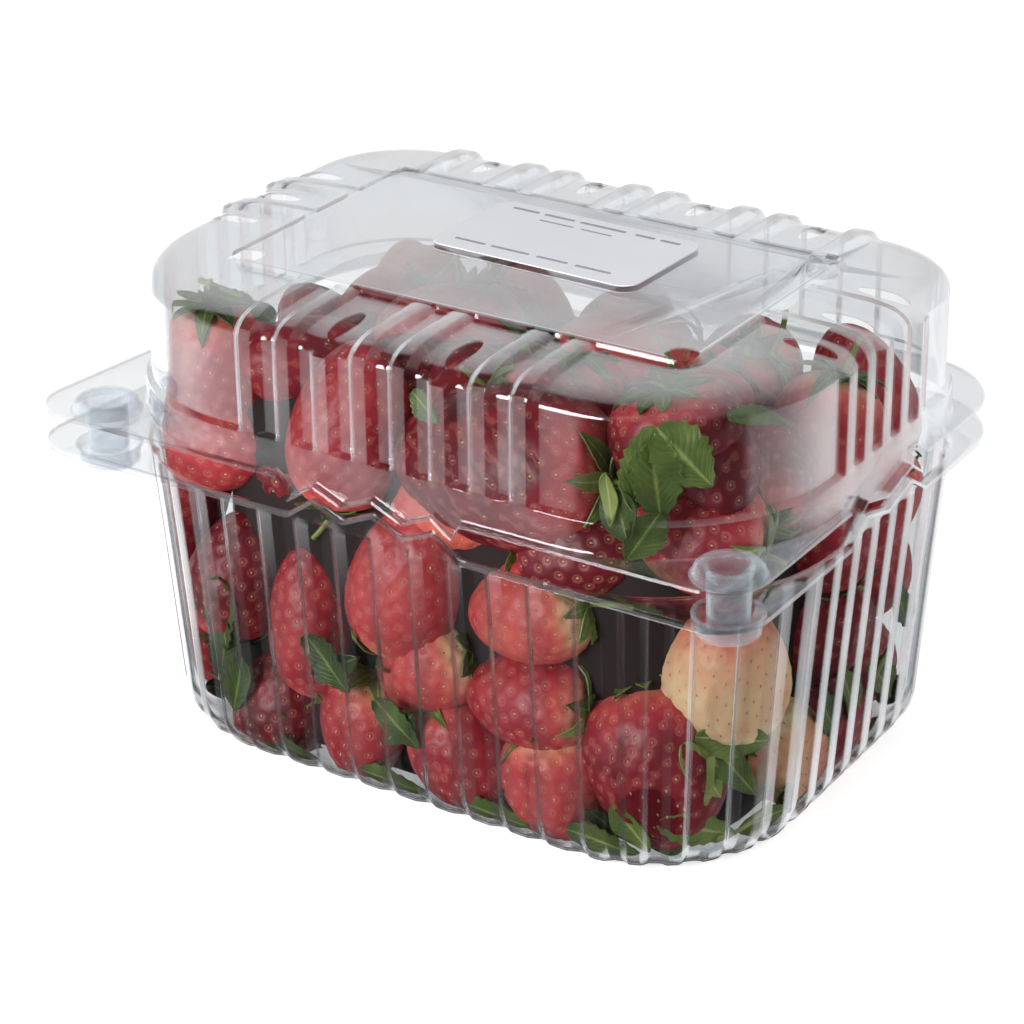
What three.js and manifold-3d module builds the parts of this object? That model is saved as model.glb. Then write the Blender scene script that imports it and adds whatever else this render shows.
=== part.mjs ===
// Punnet of strawberries: a clear two-part box with a hinged lid, a paper label and a heap of fruit.
// Millimetres, +Z up. X runs along the long front, the front faces -Y, and the box stands on Z = 0.
// The origin is the middle of the underside of the tub.
import * as THREE from 'three';
import { mergeVertices } from 'three/addons/utils/BufferGeometryUtils.js';
import Module from 'manifold-3d';

const wasm = await Module();
wasm.setup();

// Plan of the box: every wall is a rounded rectangle, drawn in from this outline by an inset
const HALF_LENGTH = 83.6;
const HALF_WIDTH = 59.4;
const FRONT_RADIUS = 42;
const BACK_RADIUS = 26.5;
const SHEET = 0.9;

// Heights of the tub, from the underside
const BASE_INSET = 14;
const BASE_BULGE_Z = 3.2;
const BASE_TOP_Z = 10;
const DRAFT = 0.075;
const GROOVE_TOP_Z = 68.6;
const WALL_TOP_Z = 70.2;
const TUB_FLANGE_Z = 71.5;
const GROOVE_DEPTH = 1.6;

// Heights of the lid, from the same underside
const LID_FLANGE_Z = 79.7;
const SKIRT_TOP_Z = 86.1;
const LID_GROOVE_Z = 87.0;
const SHOULDER_Z = 108.4;
const PANEL_Z = 114.5;
const PANEL_STEP = 1.6;
const PANEL_HALF = [58.6, 34.6];
const PANEL_CENTRE = [0.8, -0.5];
const PANEL_RADIUS = 5;
const VENT_HOLE = { x: 54.4, y: 30.6, radius: 3.6, sides: 16 };

// Corrugations: a flat-topped ridge with a sloping flank on each side
const RIDGE_TOP = 3.6;
const RIDGE_BASE = 7.2;
const LONG_PITCH = 9.75;
const SIDE_PITCH = 8.4;
const TUB_SHIFT = -1.4;

// Flange outline, with a wide lifting edge on the left and ears at the corners
const FLANGE = { left: -96, leftBack: -87, right: 86.5, front: -61.5, back: 69.7 };
const FLANGE_RADIUS = { front: 12, back: 24 };
const BUTTON = { x: 78.7, y: -52.6, rim: 7, recess: 4.7, stem: 5.9, socket: 6.9, sides: 20 };

// Zigzag crown along the flanges that leaves an air gap between tub and lid
const CROWN_FRONT = [[-21.8, 0], [-15, 4.9], [-7.5, 1.8], [0, 5.2], [7.5, 1.8], [15, 4.9], [21.8, 0]];
const CROWN_SIDE = [[-17.5, 0], [-10.4, 4.6], [0, 1.8], [10.4, 4.6], [17.5, 0]];
const CROWN_FRONT_X = -1.5;
const CROWN_SIDE_Y = 4.1;
const CROWN_GAP = 2.3;

// Living hinge: one strip on each flange, both just in front of the fold
const HINGE = { halfLength: 56, y: 70, z: 75.65, thickness: 0.8, gap: 0.3 };

const LABEL = { size: [53, 31], radius: 4, centre: [3, 9], turn: -0.03, thickness: 0.3, gap: 0.2 };

const frontStraight = HALF_LENGTH - FRONT_RADIUS;
const backStraight = HALF_LENGTH - BACK_RADIUS;
const sideFrontY = -(HALF_WIDTH - FRONT_RADIUS);
const sideBackY = HALF_WIDTH - BACK_RADIUS;
const sideCentreY = (sideFrontY + sideBackY) / 2;

// A station is a place on the outline: on a straight side at a coordinate, or on a corner at an angle.
// Stations run anticlockwise seen from above, from the left end of the front.
function straight(side, at, proud) {
  return { side, at, proud };
}

function ridges(side, centres, isProud = () => 1) {
  const list = [];
  centres.forEach((centre, i) => {
    const top = isProud(i);
    list.push(straight(side, centre - RIDGE_BASE / 2, 0), straight(side, centre - RIDGE_TOP / 2, top));
    list.push(straight(side, centre + RIDGE_TOP / 2, top), straight(side, centre + RIDGE_BASE / 2, 0));
  });
  return list;
}

function evenly(count, pitch, middle = 0) {
  return Array.from({ length: count }, (_, i) => middle + (i - (count - 1) / 2) * pitch);
}

function cornerPlain(corner, steps, proud) {
  return Array.from({ length: steps + 1 }, (_, i) => ({ corner, turn: i / steps, proud }));
}

function cornerRidges(corner, count, radius) {
  const list = [];
  const step = 1 / (count + 0.35);
  const quarter = (radius * Math.PI) / 2;
  for (let i = 0; i < count; i++) {
    const middle = (i + 0.675) * step;
    for (const [half, proud] of [[-RIDGE_BASE, 0], [-RIDGE_TOP, 1], [RIDGE_TOP, 1], [RIDGE_BASE, 0]]) {
      list.push({ corner, turn: middle + half / 2 / quarter, proud });
    }
  }
  return list;
}

function proudAt(list, at) {
  for (let i = 1; i < list.length; i++) {
    const [a, b] = [list[i - 1], list[i]];
    if (at >= a.at && at <= b.at) {
      return a.proud + ((b.proud - a.proud) * (at - a.at)) / (b.at - a.at || 1);
    }
  }
  return 0;
}

function withBreaks(list, side, breaks, middle, plainProud) {
  const extra = breaks.map(([offset]) => {
    const at = middle + offset;
    return straight(side, at, list.length ? proudAt(list, at) : plainProud);
  });
  return [...list, ...extra].sort((a, b) => a.at - b.at);
}

// Order of the four sides; along the back and the left the coordinate runs down
function loop(front, right, back, left, corners) {
  return [
    ...front, ...corners.frontRight,
    ...right, ...corners.backRight,
    ...back.slice().reverse(), ...corners.backLeft,
    ...left.slice().reverse(), ...corners.frontLeft,
  ];
}

function cornerSet(make) {
  return {
    frontRight: make('frontRight'), backRight: make('backRight'),
    backLeft: make('backLeft'), frontLeft: make('frontLeft'),
  };
}

const CORNER_STEPS = 7;

function plainLoop(proud) {
  const front = withBreaks([], 'front', CROWN_FRONT, CROWN_FRONT_X, proud);
  const right = withBreaks([], 'right', CROWN_SIDE, CROWN_SIDE_Y, proud);
  const left = withBreaks([], 'left', CROWN_SIDE, CROWN_SIDE_Y, proud);
  return loop(front, right, [], left, cornerSet((name) => cornerPlain(name, CORNER_STEPS, proud)));
}

function tubLoop() {
  const front = ridges('front', evenly(9, LONG_PITCH, TUB_SHIFT));
  const side = evenly(6, SIDE_PITCH, sideCentreY);
  const back = ridges('back', evenly(11, LONG_PITCH));
  const counts = { frontRight: 6, frontLeft: 6, backRight: 4, backLeft: 4 };
  const corners = cornerSet((name) => {
    const radius = name.startsWith('front') ? FRONT_RADIUS : BACK_RADIUS;
    return cornerRidges(name, counts[name], radius - GROOVE_DEPTH);
  });
  return loop(front, ridges('right', side), back, ridges('left', side), corners);
}

// On the lid some ridges stop at the shoulder, where a vent slot takes their place on the top
const LID_SIDE_MIDDLE = sideCentreY - 1.2;
const FRONT_VENTS = [2, 5];
const BACK_VENTS = [1, 4, 7, 10];
const SIDE_VENTS = [0, 2, 4];
const lidFront = evenly(8, LONG_PITCH);
const lidBack = evenly(12, LONG_PITCH);
const lidSide = evenly(5, SIDE_PITCH, LID_SIDE_MIDDLE);
const BACK_SQUEEZE = 0.985;

function lidLoop(onTop) {
  const keep = (vents) => (i) => (onTop && vents.includes(i) ? 0 : 1);
  const back = ridges('back', lidBack, keep(BACK_VENTS)).map((s) => ({ ...s, at: s.at * BACK_SQUEEZE }));
  return loop(
    ridges('front', lidFront, keep(FRONT_VENTS)),
    ridges('right', lidSide, keep(SIDE_VENTS)),
    back,
    ridges('left', lidSide, keep(SIDE_VENTS)),
    cornerSet((name) => cornerPlain(name, CORNER_STEPS, 0)),
  );
}

// Corner frames: sign of the centre, and the angle at which each corner starts
const CORNERS = {
  frontRight: { sx: 1, sy: -1, start: -Math.PI / 2 },
  backRight: { sx: 1, sy: 1, start: 0 },
  backLeft: { sx: -1, sy: 1, start: Math.PI / 2 },
  frontLeft: { sx: -1, sy: -1, start: Math.PI },
};
const NORMALS = { front: [0, -1], right: [1, 0], back: [0, 1], left: [-1, 0] };

// Point and outward normal of a station on the body outline, drawn in by an inset
function bodyPoint(station, inset) {
  if (station.side) {
    const [nx, ny] = NORMALS[station.side];
    const x = nx === 0 ? station.at : nx * (HALF_LENGTH - inset);
    const y = ny === 0 ? station.at : ny * (HALF_WIDTH - inset);
    return { x, y, nx, ny };
  }
  const { sx, sy, start } = CORNERS[station.corner];
  const isFront = sy < 0;
  const radius = (isFront ? FRONT_RADIUS : BACK_RADIUS) - inset;
  const angle = start + station.turn * (Math.PI / 2);
  const [nx, ny] = [Math.cos(angle), Math.sin(angle)];
  const cx = sx * (isFront ? frontStraight : backStraight);
  const cy = isFront ? sideFrontY : sideBackY;
  return { x: cx + nx * radius, y: cy + ny * radius, nx, ny };
}

// The same for any rectangle with its own corner radius, such as the panel on the lid
function boxPoint(station, half, centre, radius) {
  if (station.side) {
    const [nx, ny] = NORMALS[station.side];
    const x = nx === 0 ? station.at : centre[0] + nx * half[0];
    const y = ny === 0 ? station.at : centre[1] + ny * half[1];
    return { x, y, nx, ny };
  }
  const { sx, sy, start } = CORNERS[station.corner];
  const angle = start + station.turn * (Math.PI / 2);
  const [nx, ny] = [Math.cos(angle), Math.sin(angle)];
  const cx = centre[0] + sx * (half[0] - radius);
  const cy = centre[1] + sy * (half[1] - radius);
  return { x: cx + nx * radius, y: cy + ny * radius, nx, ny };
}

// The left edge of the flange widens towards the front into a lifting edge
function flangeLeft(y) {
  const t = THREE.MathUtils.smoothstep(y, -48, 28);
  return THREE.MathUtils.lerp(FLANGE.left, FLANGE.leftBack, t);
}

function flangePoint(station) {
  const { side, corner, turn } = station;
  if (side === 'front') return { x: station.at, y: FLANGE.front };
  if (side === 'back') return { x: station.at, y: FLANGE.back };
  if (side === 'right') return { x: FLANGE.right, y: station.at };
  if (side === 'left') return { x: flangeLeft(station.at), y: station.at };
  const { sx, sy, start } = CORNERS[corner];
  const radius = sy < 0 ? FLANGE_RADIUS.front : FLANGE_RADIUS.back;
  const edgeX = sx > 0 ? FLANGE.right : sy < 0 ? FLANGE.left : FLANGE.leftBack;
  const edgeY = sy < 0 ? FLANGE.front : FLANGE.back;
  const angle = start + turn * (Math.PI / 2);
  return {
    x: edgeX - sx * radius + Math.cos(angle) * radius,
    y: edgeY - sy * radius + Math.sin(angle) * radius,
  };
}

function profileAt(profile, offset) {
  for (let i = 1; i < profile.length; i++) {
    const [[a, za], [b, zb]] = [profile[i - 1], profile[i]];
    if (offset >= a && offset <= b) return za + ((zb - za) * (offset - a)) / (b - a);
  }
  return null;
}

// Rise of the tub flange in the crown, and the drop of the lid flange that follows it
function crownRise(station) {
  if (station.side === 'front') return profileAt(CROWN_FRONT, station.at - CROWN_FRONT_X);
  if (station.side === 'right' || station.side === 'left') {
    return profileAt(CROWN_SIDE, station.at - CROWN_SIDE_Y);
  }
  return null;
}

function tubRise(station) {
  return crownRise(station) ?? 0;
}

function lidRise(station) {
  const rise = crownRise(station);
  if (rise === null || rise === 0) return 0;
  return Math.min(0, TUB_FLANGE_Z + rise + CROWN_GAP - (LID_FLANGE_Z - SHEET));
}

// A ring is a list of points; a wall is lofted from one ring to the next
function bodyRing(stations, inset, z, { out = 0, up = 0, rise = () => 0 } = {}) {
  return stations.map((station) => {
    const p = bodyPoint(station, inset);
    const x = p.x + p.nx * out * station.proud;
    const y = p.y + p.ny * out * station.proud;
    return [x, y, z + up * station.proud + rise(station)];
  });
}

function panelRing(stations, grow, z, up = 0) {
  const half = [PANEL_HALF[0] + grow, PANEL_HALF[1] + grow];
  return stations.map((station) => {
    const p = boxPoint(station, half, PANEL_CENTRE, PANEL_RADIUS + grow);
    return [p.x, p.y, z + up * station.proud];
  });
}

function flangeRing(stations, z, rise) {
  return stations.map((station) => {
    const p = flangePoint(station);
    return [p.x, p.y, z + rise(station)];
  });
}

// Triangles between two closed rings that may have different numbers of points
function zip(a, b, indexA, indexB, faces) {
  const angles = (ring) => {
    let last = -Math.PI;
    return ring.map(([x, y]) => {
      const angle = Math.atan2(y, x);
      last = angle < last - Math.PI ? angle + Math.PI * 2 : angle;
      return last;
    });
  };
  const [ta, tb] = [angles(a), angles(b)];
  let [i, j] = [0, 0];
  while (i < a.length || j < b.length) {
    const nextA = i + 1 < a.length ? ta[i + 1] : ta[0] + Math.PI * 2;
    const nextB = j + 1 < b.length ? tb[j + 1] : tb[0] + Math.PI * 2;
    const stepA = j >= b.length || (i < a.length && nextA <= nextB);
    const [pa, pb] = [indexA + (i % a.length), indexB + (j % b.length)];
    if (stepA) {
      faces.push(pa, indexA + ((i + 1) % a.length), pb);
      i++;
    } else {
      faces.push(pa, indexB + ((j + 1) % b.length), pb);
      j++;
    }
  }
}

function sameCount(a, indexA, indexB, faces) {
  for (let i = 0; i < a.length; i++) {
    const k = (i + 1) % a.length;
    faces.push(indexA + i, indexA + k, indexB + k, indexA + i, indexB + k, indexB + i);
  }
}

// A closed shell from a first point, through rings, to a last point
function loft(first, rings, last) {
  const points = [first, ...rings.flat(), last];
  const faces = [];
  let start = 1;
  rings.forEach((ring, r) => {
    if (r === 0) {
      ring.forEach((_, i) => faces.push(0, start + ((i + 1) % ring.length), start + i));
    }
    const next = start + ring.length;
    if (r === rings.length - 1) {
      ring.forEach((_, i) => faces.push(start + i, start + ((i + 1) % ring.length), next));
    } else if (rings[r + 1].length === ring.length) {
      sameCount(ring, start, next, faces);
    } else {
      zip(ring, rings[r + 1], start, next, faces);
    }
    start = next;
  });
  const geometry = new THREE.BufferGeometry();
  geometry.setAttribute('position', new THREE.Float32BufferAttribute(points.flat(), 3));
  geometry.setIndex(faces);
  return geometry;
}

function toSolid(geometry) {
  const bare = geometry.clone();
  bare.deleteAttribute('normal');
  bare.deleteAttribute('uv');
  const merged = mergeVertices(bare, 1e-4);
  return new wasm.Manifold(new wasm.Mesh({
    numProp: 3,
    vertProperties: new Float32Array(merged.attributes.position.array),
    triVerts: new Uint32Array(merged.index.array),
  }));
}

function toGeometry(solid) {
  const mesh = solid.getMesh();
  const geometry = new THREE.BufferGeometry();
  geometry.setAttribute('position', new THREE.Float32BufferAttribute(mesh.vertProperties, 3));
  geometry.setIndex(Array.from(mesh.triVerts));
  return geometry;
}

function boxSolid(low, high) {
  const size = high.map((v, i) => v - low[i]);
  const geometry = new THREE.BoxGeometry(...size);
  geometry.translate(low[0] + size[0] / 2, low[1] + size[1] / 2, low[2] + size[2] / 2);
  return toSolid(geometry);
}

// A turned shape about an upright axis, from points of radius and height
function turned(profile, x, y, sides) {
  const geometry = new THREE.LatheGeometry(profile.map(([r, z]) => new THREE.Vector2(r, z)), sides);
  geometry.rotateX(Math.PI / 2);
  geometry.translate(x, y, 0);
  return toSolid(geometry);
}

// Outline of a plain round pin or hole
function pin(radius, low, high) {
  return [[0, low], [radius, low], [radius, high], [0, high]];
}

const EARS = [[-BUTTON.x, BUTTON.y], [BUTTON.x, BUTTON.y]];
const TUB_LEAN = (WALL_TOP_Z - BASE_TOP_Z) * DRAFT;
const FOOT_CURVE = 3.2;
const SOCKET_DEPTH = 4.5;
const CUT_CLEAR = 3;

function makeTub() {
  const plain = plainLoop(1);
  const fine = tubLoop();
  const groove = { out: GROOVE_DEPTH };
  const rings = [
    bodyRing(plain, BASE_INSET, 0),
    bodyRing(fine, TUB_LEAN + GROOVE_DEPTH + FOOT_CURVE, BASE_BULGE_Z, groove),
    bodyRing(fine, TUB_LEAN + GROOVE_DEPTH, BASE_TOP_Z, groove),
    bodyRing(fine, GROOVE_DEPTH, GROOVE_TOP_Z, groove),
    bodyRing(plain, 0, WALL_TOP_Z, { rise: tubRise }),
    flangeRing(plain, TUB_FLANGE_Z - SHEET, tubRise),
    flangeRing(plain, TUB_FLANGE_Z, tubRise),
    bodyRing(plain, GROOVE_DEPTH + SHEET, TUB_FLANGE_Z, { rise: tubRise }),
    bodyRing(plain, TUB_LEAN + GROOVE_DEPTH + SHEET, BASE_TOP_Z),
    bodyRing(plain, BASE_INSET + SHEET, SHEET),
  ];
  let solid = toSolid(loft([0, 0, 0], rings, [0, 0, SHEET]));

  const floorZ = TUB_FLANGE_Z - SOCKET_DEPTH;
  const cup = pin(BUTTON.socket + SHEET, floorZ - SHEET, TUB_FLANGE_Z);
  const hollow = pin(BUTTON.socket, floorZ, TUB_FLANGE_Z + CUT_CLEAR);
  for (const [x, y] of EARS) {
    solid = solid.add(turned(cup, x, y, BUTTON.sides));
    solid = solid.subtract(turned(hollow, x, y, BUTTON.sides));
  }
  const low = [-HINGE.halfLength, FLANGE.back - HINGE.thickness, TUB_FLANGE_Z - SHEET / 2];
  const high = [HINGE.halfLength, FLANGE.back, HINGE.z - HINGE.gap / 2];
  return solid.add(boxSolid(low, high));
}

// One slot through the shoulder, long across the edge of the lid
const SLOT = { length: 12.5, width: 4.6, inset: 10.2, below: 14, depth: 20 };

function ventSlot(x, y, alongX) {
  const halfX = (alongX ? SLOT.length : SLOT.width) / 2;
  const halfY = (alongX ? SLOT.width : SLOT.length) / 2;
  const shape = new THREE.Shape();
  shape.absellipse(0, 0, halfX, halfY, 0, Math.PI * 2);
  const geometry = new THREE.ExtrudeGeometry(shape, {
    depth: SLOT.depth, bevelEnabled: false, curveSegments: 4,
  });
  geometry.translate(x, y, PANEL_Z - SLOT.below);
  return toSolid(geometry);
}

function ventSlots() {
  const slots = [];
  for (const i of FRONT_VENTS) {
    slots.push(ventSlot(lidFront[i], -(HALF_WIDTH - SLOT.inset), false));
  }
  for (const i of BACK_VENTS) {
    slots.push(ventSlot(lidBack[i] * BACK_SQUEEZE, HALF_WIDTH - SLOT.inset, false));
  }
  for (const i of SIDE_VENTS) {
    slots.push(ventSlot(-(HALF_LENGTH - SLOT.inset), lidSide[i], true));
    slots.push(ventSlot(HALF_LENGTH - SLOT.inset, lidSide[i], true));
  }
  return slots;
}

// Bends of the lid between the wall and the panel, as inset from the outline and height
const SHOULDER_BEND = { inset: GROOVE_DEPTH + 2.6, z: SHOULDER_Z + 2.7, rise: 1.3 };
const TOP_EDGE = { inset: 9.5, z: 112.3 };
const INNER_EDGE = { inset: 10, z: 111.2 };
const INNER_BEND = { inset: 2.4, z: SHOULDER_Z - 0.2, start: SHOULDER_Z - 4 };
const SKIRT_FLARE = 0.3;
const RIDGE_END = 0.8;

// The snap button hangs from the flange and carries a rolled rim
const RIM_RISE = 2.4;
const RIM_ROUND = 0.5;
const BUTTON_DROP = 1.5;
const BUTTON_TAPER = 0.3;

function makeLid() {
  const plain = plainLoop(0);
  const skirt = plainLoop(1);
  const wall = lidLoop(false);
  const top = lidLoop(true);
  const inside = GROOVE_DEPTH + SHEET;
  const rise = { rise: lidRise };
  const ridge = { out: GROOVE_DEPTH };
  const bend = { out: GROOVE_DEPTH / 2, up: SHOULDER_BEND.rise };
  const rings = [
    panelRing(plain, -SHEET, PANEL_Z - SHEET),
    panelRing(plain, 0, PANEL_Z - PANEL_STEP - SHEET),
    bodyRing(plain, INNER_EDGE.inset, INNER_EDGE.z),
    bodyRing(plain, inside + INNER_BEND.inset, INNER_BEND.z),
    bodyRing(plain, inside, INNER_BEND.start),
    bodyRing(plain, inside, SKIRT_TOP_Z - SHEET),
    bodyRing(skirt, SHEET, LID_FLANGE_Z - SHEET, rise),
    flangeRing(skirt, LID_FLANGE_Z - SHEET, lidRise),
    flangeRing(skirt, LID_FLANGE_Z, lidRise),
    bodyRing(skirt, -SKIRT_FLARE, LID_FLANGE_Z, rise),
    bodyRing(skirt, 0, SKIRT_TOP_Z),
    bodyRing(wall, GROOVE_DEPTH, LID_GROOVE_Z, ridge),
    bodyRing(wall, GROOVE_DEPTH, SHOULDER_Z, ridge),
    bodyRing(top, SHOULDER_BEND.inset, SHOULDER_BEND.z, bend),
    bodyRing(top, TOP_EDGE.inset, TOP_EDGE.z, { up: PANEL_STEP }),
    panelRing(top, RIDGE_END, PANEL_Z - PANEL_STEP, PANEL_STEP),
    panelRing(plain, 0, PANEL_Z),
  ];
  const [cx, cy] = PANEL_CENTRE;
  let solid = toSolid(loft([cx, cy, PANEL_Z - SHEET], rings, [cx, cy, PANEL_Z]));
  for (const slot of ventSlots()) {
    solid = solid.subtract(slot);
  }
  const hole = pin(VENT_HOLE.radius, PANEL_Z - CUT_CLEAR, PANEL_Z + CUT_CLEAR);
  for (const [sx, sy] of [[-1, -1], [1, -1], [1, 1], [-1, 1]]) {
    solid = solid.subtract(turned(hole, cx + sx * VENT_HOLE.x, cy + sy * VENT_HOLE.y, VENT_HOLE.sides));
  }

  const tip = TUB_FLANGE_Z - BUTTON_DROP;
  const under = LID_FLANGE_Z - SHEET;
  const rimZ = LID_FLANGE_Z + RIM_RISE;
  const button = [
    [0, tip], [BUTTON.stem - BUTTON_TAPER, tip], [BUTTON.stem, under], [BUTTON.rim, under],
    [BUTTON.rim, rimZ - RIM_ROUND], [BUTTON.rim - RIM_ROUND, rimZ], [0, rimZ],
  ];
  const recess = [
    [0, tip + SHEET], [BUTTON.recess - BUTTON_TAPER, tip + SHEET],
    [BUTTON.recess, rimZ + CUT_CLEAR], [0, rimZ + CUT_CLEAR],
  ];
  for (const [x, y] of EARS) {
    solid = solid.add(turned(button, x, y, BUTTON.sides));
    solid = solid.subtract(turned(recess, x, y, BUTTON.sides));
  }
  const low = [-HINGE.halfLength, FLANGE.back - HINGE.thickness, HINGE.z + HINGE.gap / 2];
  const high = [HINGE.halfLength, FLANGE.back, LID_FLANGE_Z - SHEET / 2];
  return solid.add(boxSolid(low, high));
}

function makeLabel() {
  const [w, h] = LABEL.size.map((v) => v / 2);
  const r = LABEL.radius;
  const shape = new THREE.Shape();
  shape.moveTo(-w + r, -h);
  shape.lineTo(w - r, -h).absarc(w - r, -h + r, r, -Math.PI / 2, 0);
  shape.lineTo(w, h - r).absarc(w - r, h - r, r, 0, Math.PI / 2);
  shape.lineTo(-w + r, h).absarc(-w + r, h - r, r, Math.PI / 2, Math.PI);
  shape.lineTo(-w, -h + r).absarc(-w + r, -h + r, r, Math.PI, Math.PI * 1.5);
  const geometry = new THREE.ExtrudeGeometry(shape, {
    depth: LABEL.thickness, bevelEnabled: false, curveSegments: 4,
  });
  geometry.rotateZ(LABEL.turn);
  geometry.translate(LABEL.centre[0], LABEL.centre[1], PANEL_Z + LABEL.gap);
  return toSolid(geometry);
}

// Fruit that lies against the front: centre, length, width and the way the tip points
const FRONT_FRUIT = [
  [25, -41, 54, 30, 22, -1, 0, -0.35], [25, -41, 32, 30, 22, -1, 0, -0.08],
  [33, -38, 12, 24, 21, 0.05, 0.1, -1], [54, -32, 25, 35, 28, 0.35, -0.1, -1],
  [10, -38, 13, 27, 21, 0.7, 0, -0.7], [-2, -40, 32, 25, 21, -0.8, 0, -0.5],
  [-33, -40, 40, 33, 20, -0.1, 0, 1], [-20, -38, 13, 24, 18, -0.2, 0, -1],
  [-42, -36, 15, 27, 20, 0.2, 0.1, 1], [-62, -27, 45, 34, 21, -0.1, -0.1, -1],
  [63, -30, 53, 31, 26, 0.1, -0.1, 1], [-8, -40, 57, 29, 22, 0.3, 0, 1],
  [-62, -25, 17, 28, 21, 0.2, 0, -1], [60, -14, 14, 26, 21, 0.5, 0.3, -1],
  [-52, -30, 88, 35, 26, 0.1, 0, -1], [-20, -38, 85, 31, 23, 0.2, 0.1, 1],
  [20, -36, 88, 43, 31, -1, 0, -0.1], [55, -24, 93, 31, 25, 0.2, 0.2, -1],
  [56, -30, 77, 28, 24, -0.9, -0.2, 0.2], [-18, -6, 92, 34, 26, -0.8, -0.4, 0.2],
  [20, 4, 92, 31, 25, -0.7, -0.5, 0.1], [-40, -34, 66, 28, 22, 0.9, 0, 0.2],
];

// The rest lies in rows round the other walls and on top: height and clearance of each row
const FRUIT_ROWS = [[16, 3.5], [39, 2.6], [62, 2.6], [85, 7]];
const ROW_STEP = 29;
const ROW_HALF_FRUIT = 13;
const TOP_ROWS = { x: 52, step: 30, y: [16, 36], z: 90, length: 1.25 };
const FRUIT_SEED = 26;

function seeded(seed) {
  let state = seed;
  return () => {
    state = (Math.imul(state, 1664525) + 1013904223) >>> 0;
    return state / 4294967296;
  };
}

// Walks along the right side, the back and the left side at a given distance inside the wall
function wallWalk(inset, step) {
  const x = HALF_LENGTH - inset;
  const y = HALF_WIDTH - inset;
  const radius = BACK_RADIUS - inset;
  const startY = -4;
  const path = new THREE.Path();
  path.moveTo(x, startY);
  path.lineTo(x, y - radius);
  path.absarc(x - radius, y - radius, radius, 0, Math.PI / 2);
  path.lineTo(-(x - radius), y);
  path.absarc(-(x - radius), y - radius, radius, Math.PI / 2, Math.PI);
  path.lineTo(-x, startY);
  const count = Math.round(path.getLength() / step);
  return Array.from({ length: count }, (_, i) => path.getPointAt((i + 0.5) / count));
}

function rowFruit() {
  const draw = seeded(FRUIT_SEED);
  const list = [];
  for (const [z, clear] of FRUIT_ROWS) {
    const lean = Math.max(0, WALL_TOP_Z - z) * DRAFT;
    for (const { x, y } of wallWalk(lean + clear + ROW_HALF_FRUIT, ROW_STEP)) {
      const width = 20 + 5 * draw();
      const length = width * (1.15 + 0.25 * draw());
      const [tx, ty, tz] = [draw() - 0.5, draw() - 0.5, 1.6 * (draw() - 0.5)];
      list.push([x, y, z + 4 * (draw() - 0.5), length, width, tx, ty, tz]);
    }
  }
  for (let x = -TOP_ROWS.x; x <= TOP_ROWS.x; x += TOP_ROWS.step) {
    for (const y of TOP_ROWS.y) {
      const width = 21 + 5 * draw();
      const [tx, ty, tz] = [draw() - 0.5, draw() - 0.5, 0.6 * (draw() - 0.5)];
      const [backY, topZ] = [y - 4 * draw(), TOP_ROWS.z + 3 * draw()];
      list.push([x, backY, topZ, width * TOP_ROWS.length, width, tx, ty, tz]);
    }
  }
  return list;
}

// Outline of a strawberry from its shoulder to its tip, as share of length and of half width
const FRUIT_PROFILE = [[-0.5, 0], [-0.42, 0.74], [-0.14, 1], [0.16, 0.8], [0.4, 0.38], [0.5, 0]];

function fruitSolid([x, y, z, length, width, tx, ty, tz], sides = 8) {
  const profile = FRUIT_PROFILE.map(([s, r]) => new THREE.Vector2((r * width) / 2, s * length));
  const geometry = new THREE.LatheGeometry(profile, sides);
  const tip = new THREE.Vector3(tx, ty, tz).normalize();
  geometry.applyQuaternion(new THREE.Quaternion().setFromUnitVectors(new THREE.Vector3(0, 1, 0), tip));
  geometry.translate(x, y, z);
  return toSolid(geometry);
}

// Room inside the closed box with a little air all round, which the fruit keeps to
const AIR = 0.6;
const HEAP_TOP_Z = 106;

function roomInside() {
  const plain = plainLoop(1);
  const inset = GROOVE_DEPTH + SHEET + AIR;
  const rings = [
    bodyRing(plain, BASE_INSET + 1, SHEET + AIR),
    bodyRing(plain, TUB_LEAN + inset, BASE_TOP_Z + AIR),
    bodyRing(plain, inset, TUB_FLANGE_Z),
    bodyRing(plain, inset + 2.2, LID_FLANGE_Z + 3),
    bodyRing(plain, inset + 4, HEAP_TOP_Z - 4),
    bodyRing(plain, inset + 12, HEAP_TOP_Z),
  ];
  return toSolid(loft([0, 0, SHEET + AIR], rings, [0, 0, HEAP_TOP_Z]));
}

// Solid middle of the heap, under the fruit that shows, as insets and heights
const CORE = [[27, 3], [15, 14], [13, 74], [20, 86], [30, 91]];
const CORE_TOP_Z = 92;

function heapCore() {
  const rings = CORE.map(([inset, z]) => bodyRing(plainLoop(1), inset, z));
  return toSolid(loft([0, 0, CORE[0][1]], rings, [0, 0, CORE_TOP_Z]));
}

function makeBerries() {
  let heap = heapCore();
  for (const fruit of [...FRONT_FRUIT, ...rowFruit()]) {
    heap = heap.add(fruitSolid(fruit));
  }
  return heap.intersect(roomInside());
}

// Edges shorter than this are merged away, and a loose sliver left by a cut is dropped
const FINEST_EDGE = 0.05;

function whole(solid) {
  const bodies = solid.simplify(FINEST_EDGE).decompose();
  return bodies.sort((a, b) => b.volume() - a.volume())[0];
}

function piece(name, solid, material) {
  const mesh = new THREE.Mesh(toGeometry(whole(solid)), material);
  mesh.name = name;
  return mesh;
}

const clearPlastic = new THREE.MeshStandardMaterial({
  color: 0xe6ecec, roughness: 0.08, metalness: 0, transparent: true, opacity: 0.35,
});
const lidPlastic = clearPlastic.clone();
const paper = new THREE.MeshStandardMaterial({ color: 0xe2e4ea, roughness: 0.7, metalness: 0 });
const fruitSkin = new THREE.MeshStandardMaterial({ color: 0xb3202a, roughness: 0.4, metalness: 0 });

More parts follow.
